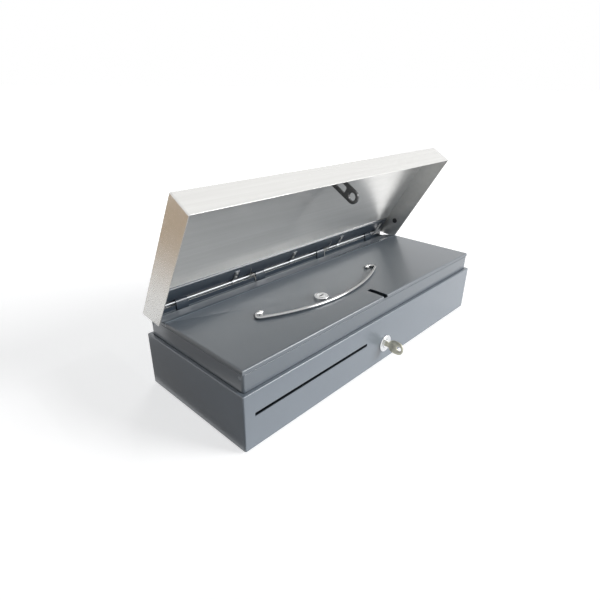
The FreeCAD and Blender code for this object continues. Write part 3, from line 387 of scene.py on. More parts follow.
class Paint(Nodes):
    """One procedural material on a Principled shader."""

    def __init__(self, name):
        self.material = bpy.data.materials.new(name)
        super().__init__(self.material)
        self.shader = self.tree.nodes["Principled BSDF"]

    def place(self, scale=(1, 1, 1), turn=(0, 0, 0)):
        """Object coordinates, turned and then stretched."""
        coords = self.node("ShaderNodeTexCoord", out=3)
        turned = self.node("ShaderNodeMapping", {"vector_type": "POINT"},
                           {"Vector": coords, "Rotation": turn})
        return self.node("ShaderNodeMapping", {"vector_type": "POINT"},
                         {"Vector": turned, "Scale": scale})

    def noise(self, vector, scale=1.0, detail=2.0, roughness=0.5):
        return self.node("ShaderNodeTexNoise", {"noise_dimensions": "3D"},
                         {"Vector": vector, "Scale": scale, "Detail": detail,
                          "Roughness": roughness})

    def off_line(self, vector, axis, place):
        """Distance from a plane square to an axis."""
        apart = self.node("ShaderNodeSeparateXYZ", {}, {"Vector": vector}, out=axis) - place
        return self.node("ShaderNodeMath", {"operation": "ABSOLUTE"}, {0: apart})

    def ramp(self, value, stops):
        return self.node("ShaderNodeValToRGB", {"stops": stops}, {"Fac": value})

    def mix(self, factor, first, second):
        """A colour between two."""
        return self.node("ShaderNodeMix", {"data_type": "RGBA"},
                         {0: factor, 6: first, 7: second}, out=2)

    def bump(self, height, strength, distance):
        return self.node("ShaderNodeBump", {}, {"Height": height, "Strength": strength,
                                                "Distance": distance})

    def finish(self, base, roughness, metallic=0.0, normal=None, coat=0.0, coat_roughness=0.1,
               coat_ior=1.5, specular=0.5):
        inputs = self.shader.inputs
        inputs["Specular IOR Level"].default_value = specular
        inputs["Coat IOR"].default_value = coat_ior
        self.feed(inputs["Base Color"], base)
        self.feed(inputs["Roughness"], roughness)
        inputs["Metallic"].default_value = metallic
        inputs["Coat Weight"].default_value = coat
        inputs["Coat Roughness"].default_value = coat_roughness
        if normal is not None:
            self.feed(inputs["Normal"], normal)
        return self.material


def shade(colour, factor):
    """A colour made lighter or darker by a plain number."""
    return tuple(min(1.0, c * factor) for c in colour)


def powder_coat(name, colour, speck, gloss=0.42, bend_highlight=None):
    """Satin powder coat: orange peel in the bump, faint clouds, rare pale scuffs.

    A bend highlight (place, half width) is a painted highlight along X: 1 - |y - place| / half width,
    held between 0 and 1.
    """
    paint = Paint(name)
    here = paint.place()
    peel = paint.noise(here, 1 / speck, 2.0, 0.55)
    cloud = paint.noise(here, 14.0, 3.0, 0.6)
    scuff = paint.ramp(paint.noise(paint.place((9, 60, 60)), 1.0, 4.0, 0.7),
                       [(0.70, 0.0), (0.78, 1.0)])
    base = paint.mix(cloud, shade(colour, 0.93), shade(colour, 1.07))
    base = paint.mix(scuff * 0.10, base, shade(colour, 1.7))
    # Painted highlight: a pale line along the cover's bend, up to 2.6 times lighter
    if bend_highlight is not None:
        line, half = bend_highlight
        painted_highlight = (1 - paint.off_line(here, 1, line) / half).clamp()
        base = paint.mix(painted_highlight * 0.8, base, shade(colour, 2.6))
    rough = gloss + cloud * 0.08 + peel * 0.06
    normal = paint.bump(peel + cloud * 0.2, 0.10, 0.00012)
    return paint.finish(base, rough, 0.0, normal, coat=1.0, coat_roughness=0.22,
                        coat_ior=1.8, specular=0.1)


def brushed_steel(name, colour, sizes, turn=(0, 0, 0)):
    """Steel brushed along X: long fine streaks in colour, roughness and bump."""
    paint = Paint(name)
    along = 1 / sizes.grain_length
    across = 1 / sizes.grain_width
    fine = paint.noise(paint.place((along, across, across), turn), 1.0, 3.0, 0.6)
    wide = (along * 0.5, across * 0.06, across * 0.06)
    broad = paint.noise(paint.place(wide, turn), 1.0, 3.0, 0.5)
    smear = paint.noise(paint.place((6, 9, 9), turn), 1.0, 3.0, 0.5)
    tone = (fine * 0.5 + broad * 0.5).clamp()
    base = paint.mix(tone, shade(colour, 0.82), shade(colour, 1.16))
    rough = 0.15 + fine * 0.07 + smear * 0.07
    normal = paint.bump(fine + broad * 0.4, 0.9, 0.00007)
    return paint.finish(base, rough, 0.70, normal)


def drawn_steel(name, colour, rough=0.26):
    """Bright wire or rod: soft die marks along it and a little dulling."""
    paint = Paint(name)
    marks = paint.noise(paint.place((60, 2600, 2600)), 1.0, 2.0, 0.5)
    dull = paint.noise(paint.place(), 90.0, 3.0, 0.6)
    base = paint.mix(dull, shade(colour, 0.86), shade(colour, 1.10))
    normal = paint.bump(marks, 0.08, 0.00004)
    return paint.finish(base, rough + dull * 0.14, 1.0, normal)


def zinc_plate(name, colour):
    """Zinc-plated sheet: pale mottled bloom."""
    paint = Paint(name)
    bloom = paint.noise(paint.place(), 160.0, 4.0, 0.65)
    base = paint.mix(bloom, shade(colour, 0.80), shade(colour, 1.15))
    normal = paint.bump(bloom, 0.10, 0.00006)
    return paint.finish(base, 0.34 + bloom * 0.18, 1.0, normal)


def chrome_plate(name, colour):
    """Chrome: nearly clean, with faint wipe marks in the roughness."""
    paint = Paint(name)
    wipe = paint.noise(paint.place((40, 260, 260)), 1.0, 3.0, 0.6)
    base = paint.mix(wipe, shade(colour, 0.94), shade(colour, 1.04))
    normal = paint.bump(wipe, 0.04, 0.00003)
    return paint.finish(base, 0.10 + wipe * 0.10, 1.0, normal)


def moulded_plastic(name, colour):
    """Moulded plastic with a fine spark-eroded texture."""
    paint = Paint(name)
    grit = paint.noise(paint.place(), 1500.0, 2.0, 0.5)
    flow = paint.noise(paint.place(), 30.0, 2.0, 0.5)
    base = paint.mix(flow, shade(colour, 0.85), shade(colour, 1.25))
    normal = paint.bump(grit, 0.20, 0.00008)
    return paint.finish(base, 0.50 + flow * 0.10, 0.0, normal)


def foot_rubber(name, colour):
    """Dull rubber with a powdery bloom."""
    paint = Paint(name)
    dust = paint.noise(paint.place(), 420.0, 4.0, 0.7)
    base = paint.mix(dust, shade(colour, 0.8), shade(colour, 1.9))
    normal = paint.bump(dust, 0.25, 0.0001)
    return paint.finish(base, 0.72 + dust * 0.16, 0.0, normal)


def worn_key(name, colour):
    """Nickel plate worn to brass on the high places."""
    paint = Paint(name)
    wear = paint.ramp(paint.noise(paint.place(), 210.0, 4.0, 0.6), [(0.40, 0.0), (0.66, 1.0)])
    marks = paint.noise(paint.place((300, 1600, 1600)), 1.0, 2.0, 0.5)
    base = paint.mix(wear, colour, shade(colour, 1.5))
    normal = paint.bump(marks, 0.12, 0.00006)
    return paint.finish(base, 0.34 + wear * 0.12, 0.85, normal)


def coil_tape(name, dark, light):
    """Wrapped tape of the solenoid's coil, with rings of overlap along X."""
    paint = Paint(name)
    rings = paint.noise(paint.place((260, 3, 3)), 1.0, 2.0, 0.4)
    base = paint.mix(rings, dark, light)
    normal = paint.bump(rings, 0.3, 0.0002)
    return paint.finish(base, 0.38 + rings * 0.10, 0.0, normal)


# Mesh helpers


def add_object(name, data):
    """Makes an object in the scene."""
    made = bpy.data.objects.new(name, data)
    bpy.context.scene.collection.objects.link(made)
    return made


def add_piece(name, verts, faces, body, material, smooth=True):
    """Makes a mesh piece from arrays and lets it ride on a CAD body."""
    mesh = bpy.data.meshes.new(name)
    mesh.from_pydata(np.asarray(verts, float).tolist(), [], faces)
    mesh.update()
    piece = add_object(name, mesh)
    tidy_normals(mesh, PIECE_MERGE)
    mesh.materials.append(material)
    if smooth:
        mesh.shade_smooth()
        mesh.set_sharp_from_angle(angle=PIECE_CREASE)
    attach(piece, body)
    return piece


def tidy_normals(mesh, merge):
    """Merges doubles and turns the faces outwards."""
    work = bmesh.new()
    work.from_mesh(mesh)
    bmesh.ops.remove_doubles(work, verts=work.verts, dist=merge)
    bmesh.ops.recalc_face_normals(work, faces=work.faces)
    work.to_mesh(mesh)
    work.free()


def grid_faces(rows, columns, wrap_rows, wrap_columns):
    """Quads of a grid of points, closed along either way."""
    last_row = rows if wrap_rows else rows - 1
    last_column = columns if wrap_columns else columns - 1
    i, j = np.meshgrid(np.arange(last_row), np.arange(last_column), indexing="ij")
    a = i * columns + j
    b = i * columns + (j + 1) % columns
    c = ((i + 1) % rows) * columns + (j + 1) % columns
    d = ((i + 1) % rows) * columns + j
    return np.stack([a, b, c, d], -1).reshape(-1, 4).tolist()


def closed_grid(rows, columns):
    """Quads of a grid that wraps along its columns, with a face over each end."""
    faces = grid_faces(rows, columns, False, True)
    faces.append(list(range(columns)))
    faces.append([(rows - 1) * columns + k for k in range(columns)][::-1])
    return faces


def turned(profile, centre, axis, sides=96):
    """Surface of revolution of a closed (radius, height) profile about an axis.

    point(a, k) = centre + axis * height[k] + radius[k] * (u cos a + v sin a), where u and v are
    square to the axis and to each other.
    """
    axis = np.array(axis, float)
    oblique = (0.31, 0.57, 0.76)
    u = np.cross(axis, oblique)
    u /= np.linalg.norm(u)
    v = np.cross(axis, u)
    profile = np.asarray(profile, float)
    a = np.linspace(0, 2 * math.pi, sides, endpoint=False)[:, None, None]
    radial = u * np.cos(a) + v * np.sin(a)
    points = np.array(centre) + axis * profile[None, :, 1:2] + radial * profile[None, :, 0:1]
    return points.reshape(-1, 3), grid_faces(sides, len(profile), True, True)


def tube(path, radius, sides):
    """Round tube along a smooth path, with domed ends.

    Each ring is radius * (n cos a + b sin a) about its point, with n and b carried along the
    path square to its direction; the end rings shrink as a quarter circle does.
    """
    path = np.asarray(path, float)
    way = np.gradient(path, axis=0)
    way /= np.linalg.norm(way, axis=1)[:, None]
    up = np.array((0.0, 0.0, 1.0))
    n = up - way * (way @ up)[:, None]
    n /= np.linalg.norm(n, axis=1)[:, None]
    b = np.cross(way, n)
    cap_rings, bulge, tip = 6, 0.35, 0.02
    cap = np.linspace(0, math.pi / 2, cap_rings)
    head = path[0] - way[0] * (radius * np.cos(cap) * bulge)[:, None]
    tail = path[-1] + way[-1] * (radius * np.sin(cap) * bulge)[:, None]
    centres = np.concatenate([head, path[1:-1], tail])
    n, b = (np.concatenate([np.repeat(side[:1], cap_rings, 0), side[1:-1],
                            np.repeat(side[-1:], cap_rings, 0)]) for side in (n, b))
    scale = np.concatenate([np.sin(cap), np.ones(len(path) - 2), np.cos(cap)])
    scale = np.maximum(scale, tip)[:, None, None] * radius
    a = np.linspace(0, 2 * math.pi, sides, endpoint=False)[None, :, None]
    rings = centres[:, None] + scale * (n[:, None] * np.cos(a) + b[:, None] * np.sin(a))
    return rings.reshape(-1, 3), closed_grid(len(centres), sides)


def arc(centre, radius, start, end, count):
    """Points (x, y) on an arc between two angles in degrees."""
    a = np.radians(np.linspace(start, end, count))
    return np.stack([centre[0] + radius * np.cos(a), centre[1] + radius * np.sin(a)], -1)


def merged_copy(node, name):
    """A copy of a CAD node with its loose triangles merged; it replaces the node."""
    mesh = frame["nodes"][node].data.copy()
    mesh.name = name
    piece = add_object(name, mesh)
    tidy_copy(mesh)
    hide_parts(node)
    return piece


def softened(node, width, segments=2):
    """A merged copy of a CAD node with its sharp folds bevelled."""
    piece = merged_copy(node, node + "_soft")
    bevel = piece.modifiers.new("fold", "BEVEL")
    bevel.width = width
    bevel.segments = segments
    bevel.limit_method = "ANGLE"
    bevel.angle_limit = FOLD_ANGLE
    bevel.use_clamp_overlap = True
    bevel.harden_normals = True
    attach(piece, BODY_OF[node])
    return piece


def tidy_copy(mesh):
    """Merges a CAD copy's loose triangles and joins those that lie in one plane."""
    work = bmesh.new()
    work.from_mesh(mesh)
    bmesh.ops.remove_doubles(work, verts=work.verts, dist=CAD_MERGE)
    bmesh.ops.dissolve_limit(work, angle_limit=FLAT_ANGLE, verts=work.verts, edges=work.edges)
    work.to_mesh(mesh)
    work.free()
    mesh.shade_smooth()
    mesh.set_sharp_from_angle(angle=SHEET_CREASE)


def paint_node(node, material):
    """Gives a CAD node a finish in all its material slots."""
    piece = frame["nodes"][node]
    if not piece.material_slots:
        piece.data.materials.append(material)
    for slot in piece.material_slots:
        slot.material = material


def box_of(node):
    low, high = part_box(node)
    return np.array(low), np.array(high)


BODY_OF = {node: body for body, nodes in frame["record"]["behaviour"]["bodies"].items()
           for node in nodes}
# Darker copies of a finish, painted shade: cover, collar, hinge rod and straps
OWN_FINISH = {"insert_cover": "shaded_cover_paint", "collar_frame": "shaded_collar_paint",
              "hinge_rod": "shaded_hinge_steel", "hinge_straps": "shaded_hinge_steel"}
FINISHES = {}


def finishes():
    """All finishes, made once."""
    if FINISHES:
        return FINISHES
    sizes = bpy.context.scene.drawer_sizes
    colours = bpy.context.scene.drawer_colours
    speck = sizes.coat_speck
    made = {
        "case_paint": powder_coat("powder_coat", tuple(colours.coat), speck),
        # Painted shade: the cover and collar get the case's coat made darker
        "shaded_cover_paint": powder_coat("shaded_cover_coat", tuple(colours.shaded_cover_coat), speck,
                                   bend_highlight=(sizes.cover_bend, sizes.bend_highlight_half)),
        "shaded_collar_paint": powder_coat("shaded_collar_coat", tuple(colours.shaded_cover_coat), speck),
        "hinge_paint": powder_coat("shaded_hinge_coat", tuple(colours.shaded_hinge_coat), speck, 0.36),
        "lid_steel": brushed_steel("lid_steel", tuple(colours.lid), sizes,
                                   (LID_LEAN, 0, 0)),
        "bright_steel": drawn_steel("bright_steel", tuple(colours.bright)),
        "shaded_hinge_steel": drawn_steel("shaded_hinge_steel", tuple(colours.rod), 0.30),
        "spring_steel": drawn_steel("spring_steel", shade(tuple(colours.bright), 0.6), 0.34),
        "black_steel": powder_coat("black_coat", tuple(colours.black), speck, 0.30),
        "zinc_plate": zinc_plate("zinc_plate", tuple(colours.zinc)),
        "lock_chrome": chrome_plate("lock_chrome", tuple(colours.chrome)),
        # Painted shade: the handle wire is the lock chrome darkened to 0.62
        "handle_wire": chrome_plate("handle_wire", shade(tuple(colours.chrome), 0.62)),
        "key_nickel": worn_key("key_nickel", tuple(colours.key)),
        "tray_plastic": moulded_plastic("tray_plastic", tuple(colours.plastic)),
        "coil_wrap": coil_tape("coil_wrap", tuple(colours.tape_dark), tuple(colours.tape_light)),
        "foot_rubber": foot_rubber("foot_rubber", tuple(colours.black)),
    }
    FINISHES.update(made)
    return FINISHES


# Operators


class DRAWER_OT_finishes(bpy.types.Operator):
    """Give every CAD node the finish of its material slot"""

    bl_idname = "drawer.finishes"
    bl_label = "Finish the frame"

    def execute(self, context):
        made = finishes()
        for part in frame["record"]["subparts"]:
            node = part["node"]
            paint_node(node, made[OWN_FINISH.get(node, part["material_slot"])])
        return {"FINISHED"}


class DRAWER_OT_sheet_metal(bpy.types.Operator):
    """Soften the folds and cut edges of the visible sheet metal"""

    bl_idname = "drawer.sheet_metal"
    bl_label = "Soften sheet metal"

    def execute(self, context):
        width = context.scene.drawer_sizes.sheet_bend
        for node in ("case_shell", "collar_frame", "insert_cover", "lid_shell", "striker",
                     "lid_hinge_leaf"):
            piece = softened(node, width)
        return {"FINISHED"}


class DRAWER_OT_hinge_shade_sheet(bpy.types.Operator):
    """Put a dark sheet of painted shade over the hinge rod under the lid, down to the rear edge"""

    bl_idname = "drawer.hinge_liner"
    bl_label = "Hinge liner"

    def execute(self, context):
        sizes = context.scene.drawer_sizes
        low, high = box_of("lid_shell")
        half = (high[0] - low[0]) / 2 - sizes.shade_sheet_end_gap
        verts, faces = bent_strip(sizes, half)
        add_piece("hinge_liner", verts, faces, "lid",
                  finishes()["hinge_paint"], smooth=False)
        return {"FINISHED"}


def bent_strip(sizes, half):
    """L-shaped strip of painted shade under the panel and inside the rear lip, turned open about the
    axis.

    With the shut lid's (y, z) from the axis: y' = y cos a + z sin a, z' = z cos a - y sin a.
    """
    front, edge = -sizes.shade_sheet_front, -sizes.shade_sheet_drop
    rear, top, thick = sizes.shade_sheet_rear, sizes.shade_sheet_top, sizes.liner
    shut = np.array([(front, top - thick), (rear - thick, top - thick), (rear - thick, edge),
                     (rear, edge), (rear, top), (front, top)])
    cosine, sine = math.cos(LID_LEAN), math.sin(LID_LEAN)
    y = sizes.hinge_line[0] + shut[:, 0] * cosine + shut[:, 1] * sine
    z = sizes.hinge_line[1] + shut[:, 1] * cosine - shut[:, 0] * sine
    count = len(shut)
    verts = np.array([(side, y[k], z[k]) for side in (-half, half) for k in range(count)])
    return verts, closed_grid(2, count)


class DRAWER_OT_bail(bpy.types.Operator):
    """Bend the bail handle as one smooth wire"""

    bl_idname = "drawer.bail"
    bl_label = "Bail handle"

    def execute(self, context):
        low, high = box_of("bail_handle")
        centre = (low + high) / 2
        wire = (high[2] - low[2]) / 2
        pivot_y = high[1] - wire
        half = (high[0] - low[0]) / 2 - wire
        reach = pivot_y - (low[1] + wire)
        sizes = context.scene.drawer_sizes
        path = bail_path(half, reach, sizes.bail_bend, sizes.bail_end)
        points = np.zeros((len(path), 3))
        points[:, 0] = centre[0] + path[:, 0]
        points[:, 1] = pivot_y + path[:, 1]
        points[:, 2] = centre[2]
        verts, faces = tube(points, wire, sizes.wire_sides)
        piece = add_piece("bail_wire", verts, faces, "bail",
                          finishes()["handle_wire"])
        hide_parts("bail_handle")
        return {"FINISHED"}


def bail_path(half, reach, bend, end):
    """Turned-in end, small bend, long shallow arc and the same back, evenly spaced.

    The long arc has radius R about (0, R - reach) with R = (h h / (reach - 2 r) + reach) / 2 and
    h = half - r, and meets the small arcs of radius r where the line of the two centres cuts it.
    """
    h = half - bend
    big = (h * h / (reach - 2 * bend) + reach) / 2
    lean = math.degrees(math.atan2(big - reach + bend, h))
    left_small = arc((-h, -bend), bend, 90, 180 + lean, 24)
    long_arc = arc((0, big - reach), big, 180 + lean, 360 - lean, 120)
    right_small = arc((h, -bend), bend, -lean, 90, 24)
    start = np.stack([np.linspace(-end, -h, 8), np.zeros(8)], -1)
    stop = start[::-1] * (-1, 1)
    return np.concatenate([start[:-1], left_small[:-1], long_arc[:-1], right_small[:-1], stop])


class DRAWER_OT_springs(bpy.types.Operator):
    """Replace the lid's two coils and the return spring with merged copies"""

    bl_idname = "drawer.springs"
    bl_label = "Springs"

    def execute(self, context):
        for node in ("torsion_spring_left", "torsion_spring_right"):
            piece = merged_copy(node, node + "_wound")
            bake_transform(piece)
        piece = merged_copy("return_spring", "return_spring_pressed")
        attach(piece, "root")
        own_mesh(piece)
        return {"FINISHED"}


class DRAWER_OT_locks(bpy.types.Operator):
    """Turn the two lock housings with rolled face rings"""

    bl_idname = "drawer.locks"
    bl_label = "Lock housings"

    def execute(self, context):
        sizes = context.scene.drawer_sizes
        piece = lock_housing("front_lock_housing", "root", ("front_lock_body", "front_lock_plug"),
                             sizes.front_barrel, 1, -1, box_of("case_shell")[0][1])
        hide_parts("front_lock_body")
        piece = lock_housing("cover_lock_housing", "cover", ("cover_lock_body", "cover_lock_plug"),
                             sizes.cover_barrel, 2, 1, box_of("insert_cover")[1][2])
        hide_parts("cover_lock_body")
        return {"FINISHED"}


def lock_housing(name, body, nodes, barrel, axis, way, seat):
    """Housing that faces up or down an axis (0 to 2; way 1 or -1), its rim seated at a place."""
    low, high = box_of(nodes[0])
    plug_low, plug_high = box_of(nodes[1])
    centre = (low + high) / 2
    centre[axis] = seat
    out = np.zeros(3)
    out[axis] = way
    depth, proud = (seat - low[axis], high[axis] - seat)[::way]
    bore = (plug_high[0] - plug_low[0]) / 2 + bpy.context.scene.drawer_sizes.plug_gap
    profile = lock_profile((high[0] - low[0]) / 2, barrel, bore, proud, depth)
    verts, faces = turned(profile, centre, out)
    return add_piece(name, verts, faces, body, finishes()["lock_chrome"])


def lock_profile(rim, barrel, bore, proud, depth):
    """Closed (radius, height) outline: rolled rim, shallow dish, inner lip, bore and barrel."""
    roll = min(proud * 0.8, rim * 0.12)
    rolled = arc((rim - roll, proud - roll), roll, 0, 110, 12)
    lip = (bore + 0.9 * MM, proud - 0.12 * MM)
    dish = (bore + 1.7 * MM, proud - 0.55 * MM)
    outline = [(rim - 0.2 * MM, 0.0), (rim, 0.25 * MM)]
    outline += [tuple(p) for p in rolled]
    outline += [dish, lip, (bore + 0.25 * MM, proud - 0.12 * MM), (bore, proud - 0.4 * MM)]
    chamfer = 0.4 * MM
    outline += [(bore, -depth), (barrel - chamfer, -depth), (barrel, -depth + chamfer), (barrel, 0.0)]
    return outline


class DRAWER_OT_key(bpy.types.Operator):
    """Cut the key: pierced bow with a rolled rim and a toothed blade"""

    bl_idname = "drawer.key"
    bl_label = "Key"

    def execute(self, context):
        sizes = context.scene.drawer_sizes
        low, high = box_of("front_key")
        half_x, _, half_z = (high - low) / 2
        centre_x, _, centre_z = (low + high) / 2
        radius = sizes.bow_radius
        middle = (centre_x, low[1] + radius, centre_z)
        bow = key_bow(middle, radius, half_z, sizes.bow_hole, half_x)
        blade = key_blade(centre_x, low[1] + 2 * radius - sizes.blade_lap, high[1], centre_z, sizes)
        shift = len(bow[0])
        verts = np.concatenate([bow[0], blade[0]])
        faces = bow[1] + [[k + shift for k in f] for f in blade[1]]
        piece = add_piece("key_with_bow", verts, faces, "key",
                          finishes()["key_nickel"])
        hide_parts("front_key")
        return {"FINISHED"}


def key_bow(middle, radius, half_z, hole, half_t):
    """Pierced plate: for each angle the section runs rim, face, hole edge, back face.

    The rim is radius * (|cos a|^p + |sin a|^p)^(-1/p), squashed to half_z upwards; the hole is a
    circle set off towards the ring end; both edges are rounded as quarter circles.
    """
    a = np.linspace(0, 2 * math.pi, 96, endpoint=False)
    power = 2.6
    rim = (np.abs(np.cos(a)) ** power + np.abs(np.sin(a)) ** power) ** (-1 / power)
    outer = np.stack([np.cos(a) * rim * radius, np.sin(a) * rim * half_z], -1)
    outer *= (radius / np.abs(outer[:, 0]).max(), half_z / np.abs(outer[:, 1]).max())
    inner = (-radius * 0.45, 0.0) + hole * np.stack([np.cos(a), np.sin(a)], -1)
    q = np.radians(np.linspace(0, 90, 5))
    edge = half_t * 0.6
    depth = edge * (1 - np.cos(q))
    height = half_t - edge + edge * np.sin(q)
    way = inner - outer
    unit = way / np.linalg.norm(way, axis=1)[:, None]
    rim_front = outer[:, None] + unit[:, None] * depth[None, :, None]
    hole_front = inner[:, None] - unit[:, None] * depth[None, ::-1, None]
    flat = np.concatenate([rim_front, hole_front, hole_front[:, ::-1], rim_front[:, ::-1]], 1)
    x = np.concatenate([height, height[::-1], -height, -height[::-1]])
    points = np.zeros(flat.shape[:2] + (3,))
    points[..., 0] = middle[0] + x[None]
    points[..., 1] = middle[1] + flat[..., 0]
    points[..., 2] = middle[2] + flat[..., 1]
    return points.reshape(-1, 3), grid_faces(len(a), flat.shape[1], True, True)


def key_blade(x, start, end, z, sizes):
    """Blade whose top edge dips at the cuts.

    Its half height is w - d * max(0, cos(2 pi (t - pitch / 2) / pitch)), with t from the tip.
    """
    half_w, half_t = sizes.blade_half_width, sizes.blade_half_thick
    pitch = sizes.cut_pitch
    y = np.linspace(start, end, 70)
    from_tip = end - y
    cut = np.clip(np.cos(2 * math.pi * (from_tip - pitch / 2) / pitch), 0, 1)
    top = half_w - sizes.cut_depth * cut * (from_tip < sizes.cut_reach)
    narrow = np.clip(from_tip / sizes.nose, 0.35, 1)
    section = np.array([(-1, -1), (-1, 0.2), (-0.4, 0.35), (-0.4, 0.6), (-1, 0.75), (-1, 1),
                        (1, 1), (1, 0.0), (0.4, -0.15), (0.4, -0.4), (1, -0.55), (1, -1)], float)
    points = np.zeros((len(y), len(section), 3))
    points[..., 0] = x + section[None, :, 0] * half_t
    points[..., 1] = y[:, None]
    cut_side = section[None, :, 1] > 0.7
    high = section[None, :, 1] * np.where(cut_side, top[:, None], half_w)
    points[..., 2] = z + np.minimum(high, top[:, None]) * narrow[:, None]
    return points.reshape(-1, 3), closed_grid(len(y), len(section))


class DRAWER_OT_feet(bpy.types.Operator):
    """Mould the four rubber feet with a step and a ribbed sole"""

    bl_idname = "drawer.feet"
    bl_label = "Rubber feet"

    def execute(self, context):
        low, high = box_of("rubber_feet")
        sizes = context.scene.drawer_sizes
        radius, pitch, groove = sizes.foot_radius, sizes.sole_pitch, sizes.sole_groove
        height = high[2] - low[2]
        profile = [(0.0, height), (radius - 0.3 * MM, height), (radius, height - 0.3 * MM),
                   (radius, height * 0.55), (radius - 0.5 * MM, height * 0.45),
                   (radius - 0.9 * MM, 0.3 * MM), (radius - 1.3 * MM, 0.0)]
        ring = radius - pitch
        while ring > sizes.sole_middle:
            profile += [(ring, 0.0), (ring - 0.1 * pitch, groove), (ring - 0.4 * pitch, groove),
                        (ring - 0.5 * pitch, 0.0)]
            ring -= pitch
        profile.append((0.0, 0.0))
        verts, faces = [], []
        for x in (low[0] + radius, high[0] - radius):
            for y in (low[1] + radius, high[1] - radius):
                v, f = turned(profile, (x, y, low[2]), (0, 0, 1), 40)
                faces += [[k + len(verts) for k in face] for face in f]
                verts += v.tolist()
        piece = add_piece("moulded_feet", verts, faces, "root",
                          finishes()["foot_rubber"])
        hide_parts("rubber_feet")
        return {"FINISHED"}


class DRAWER_OT_stage(bpy.types.Operator):
    """Set the floor, the soft lamps, the pale surroundings and the camera"""

    bl_idname = "drawer.stage"
    bl_label = "Stage"

    def execute(self, context):
        stage = context.scene.drawer_stage
        make_floor(tuple(context.scene.drawer_colours.floor), stage)
        make_world(stage)
        sun("sun_matt", stage, 1 - stage.sun_gleam, False)
        sun("sun_gleam", stage, stage.sun_gleam, True)
        softbox("window", stage)
        mirror_card("near_card", stage.near_card, stage.card_height, tuple(stage.near_shade))
        mirror_card("warm_card", stage.warm_card, stage.card_height, tuple(stage.warm_shade))
        make_camera(context.scene)
        context.scene.view_settings.view_transform = "Standard"
        return {"FINISHED"}


def level_sheet(name, edges, height):
    """One level face between its left, right, front and rear edge."""
    left, right, front, rear = edges
    mesh = bpy.data.meshes.new(name)
    corners = [(left, front, height), (right, front, height), (right, rear, height),
               (left, rear, height)]
    mesh.from_pydata(corners, [], [(0, 1, 2, 3)])
    return add_object(name, mesh)


def make_floor(colour, stage):
    """Pale floor, lifted to white where it is seen, so that only the shadow stays grey."""
    side = stage.floor_half
    floor = level_sheet("floor", (-side, side, -side, side), 0.0)
    paint = Paint("floor")
    paint.finish(colour, 0.8)
    glow = paint.node("ShaderNodeEmission", {}, {"Color": (1.0, 1.0, 1.0),
                                                 "Strength": stage.floor_glow})
    blend = paint.node("ShaderNodeMixShader", {}, {
        0: paint.seen() * stage.floor_lift, 1: Val(paint, paint.shader.outputs[0]), 2: glow})
    paint.surface(blend, "Material Output")
    floor.data.materials.append(paint.material)


def make_world(stage):
    """White where it is seen or mirrored, a soft cool light elsewhere."""
    world = bpy.data.worlds.new("surroundings")
    bpy.context.scene.world = world
    nodes = Nodes(world)
    soft = nodes.node("ShaderNodeBackground", {}, {"Color": (0.93, 0.96, 1.0),
                                                   "Strength": stage.sky})
    white = nodes.node("ShaderNodeBackground", {}, {"Color": (1.0, 1.0, 1.0), "Strength": 1.0})
    blend = nodes.node("ShaderNodeMixShader", {}, {0: nodes.seen(), 1: soft, 2: white})
    nodes.surface(blend, "World Output")


def sun(name, stage, share, mirrored):
    """A share of the broad, low light from the front right, which metal mirrors or not."""
    light = bpy.data.lights.new(name, "SUN")
    light.energy = stage.sun_strength * share
    light.angle = stage.sun_width
    holder = add_object(name, light)
    holder.rotation_euler = Vector(stage.sun_from).to_track_quat("Z", "Y").to_euler()
    holder.visible_glossy = mirrored


def softbox(name, stage):
    """A square lamp that metal doesn't mirror."""
    light = bpy.data.lights.new(name, "AREA")
    light.size = stage.window_side
    light.energy = stage.window_power
    holder = add_object(name, light)
    holder.location = stage.window_place
    back = Vector(stage.window_place) - Vector(stage.window_target)
    holder.rotation_euler = back.to_track_quat("Z", "Y").to_euler()
    holder.visible_glossy = False


def mirror_card(name, edges, height, colour):
    """A card on the floor that only reflections show."""
    card = level_sheet(name, edges, height)
    for kind in ("camera", "diffuse", "transmission", "volume_scatter", "shadow"):
        setattr(card, "visible_" + kind, False)
    paint = Paint(name)
    glow = paint.node("ShaderNodeEmission", {}, {"Color": colour, "Strength": 1.0})
    paint.surface(glow, "Material Output")
    card.data.materials.append(paint.material)


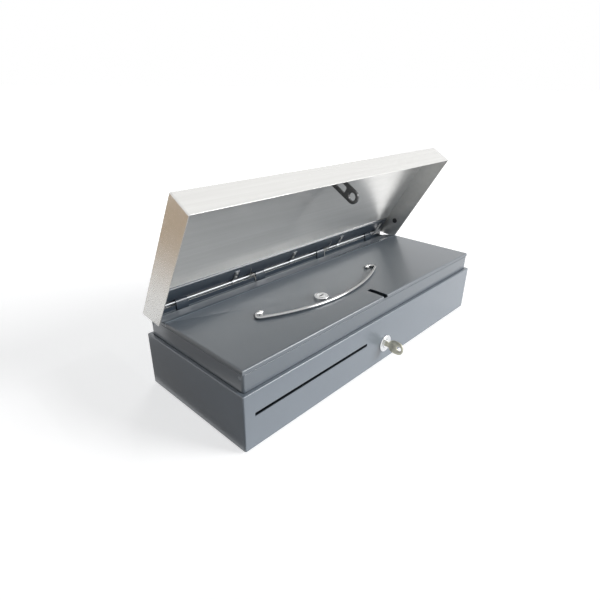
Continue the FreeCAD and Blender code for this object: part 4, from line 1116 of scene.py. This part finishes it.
def make_camera(scene):
    """Camera from the azimuth (0 looks along +Y), the dip below level and the roll."""
    sizes = scene.drawer_sizes
    azimuth, dip, roll = sizes.camera_turn
    data = bpy.data.cameras.new("camera")
    data.lens = sizes.lens
    data.sensor_width = SENSOR
    data.clip_start = 0.01
    camera = add_object("camera", data)
    forward = Vector((math.sin(azimuth) * math.cos(dip), math.cos(azimuth) * math.cos(dip),
                      -math.sin(dip)))
    right = Vector((math.cos(azimuth), -math.sin(azimuth), 0))
    up = right.cross(forward)
    across = right * math.cos(roll) + up * math.sin(roll)
    above = up * math.cos(roll) - right * math.sin(roll)
    turn = Matrix((across, above, -forward)).transposed()
    camera.matrix_world = Matrix.Translation(Vector(sizes.camera_place)) @ turn.to_4x4()
    scene.camera = camera


class DRAWER_PT_panel(bpy.types.Panel):
    """Lists the pieces and their sizes"""

    bl_idname = "DRAWER_PT_panel"
    bl_label = "Cash Drawer"
    bl_space_type = "VIEW_3D"
    bl_region_type = "UI"
    bl_category = "Cash Drawer"

    def draw(self, context):
        layout = self.layout
        scene = context.scene
        for group in (scene.drawer_sizes, scene.drawer_colours, scene.drawer_stage):
            for name in group.__annotations__:
                layout.prop(group, name)
        for step in STEPS:
            layout.operator(step.bl_idname)


STEPS = (
    DRAWER_OT_stage,
    DRAWER_OT_finishes,
    DRAWER_OT_sheet_metal,
    DRAWER_OT_hinge_shade_sheet,
    DRAWER_OT_bail,
    DRAWER_OT_springs,
    DRAWER_OT_locks,
    DRAWER_OT_key,
    DRAWER_OT_feet,
)
CLASSES = (DrawerSizes, DrawerColours, DrawerStage) + STEPS + (DRAWER_PT_panel,)


def register():
    for cls in CLASSES:
        bpy.utils.register_class(cls)
    bpy.types.Scene.drawer_sizes = PointerProperty(type=DrawerSizes)
    bpy.types.Scene.drawer_colours = PointerProperty(type=DrawerColours)
    bpy.types.Scene.drawer_stage = PointerProperty(type=DrawerStage)


def unregister():
    del bpy.types.Scene.drawer_stage
    del bpy.types.Scene.drawer_colours
    del bpy.types.Scene.drawer_sizes
    for cls in reversed(CLASSES):
        bpy.utils.unregister_class(cls)


def main():
    register()
    for step in STEPS:
        group, name = step.bl_idname.split(".")
        getattr(getattr(bpy.ops, group), name)()


if __name__ == "__main__":
    main()
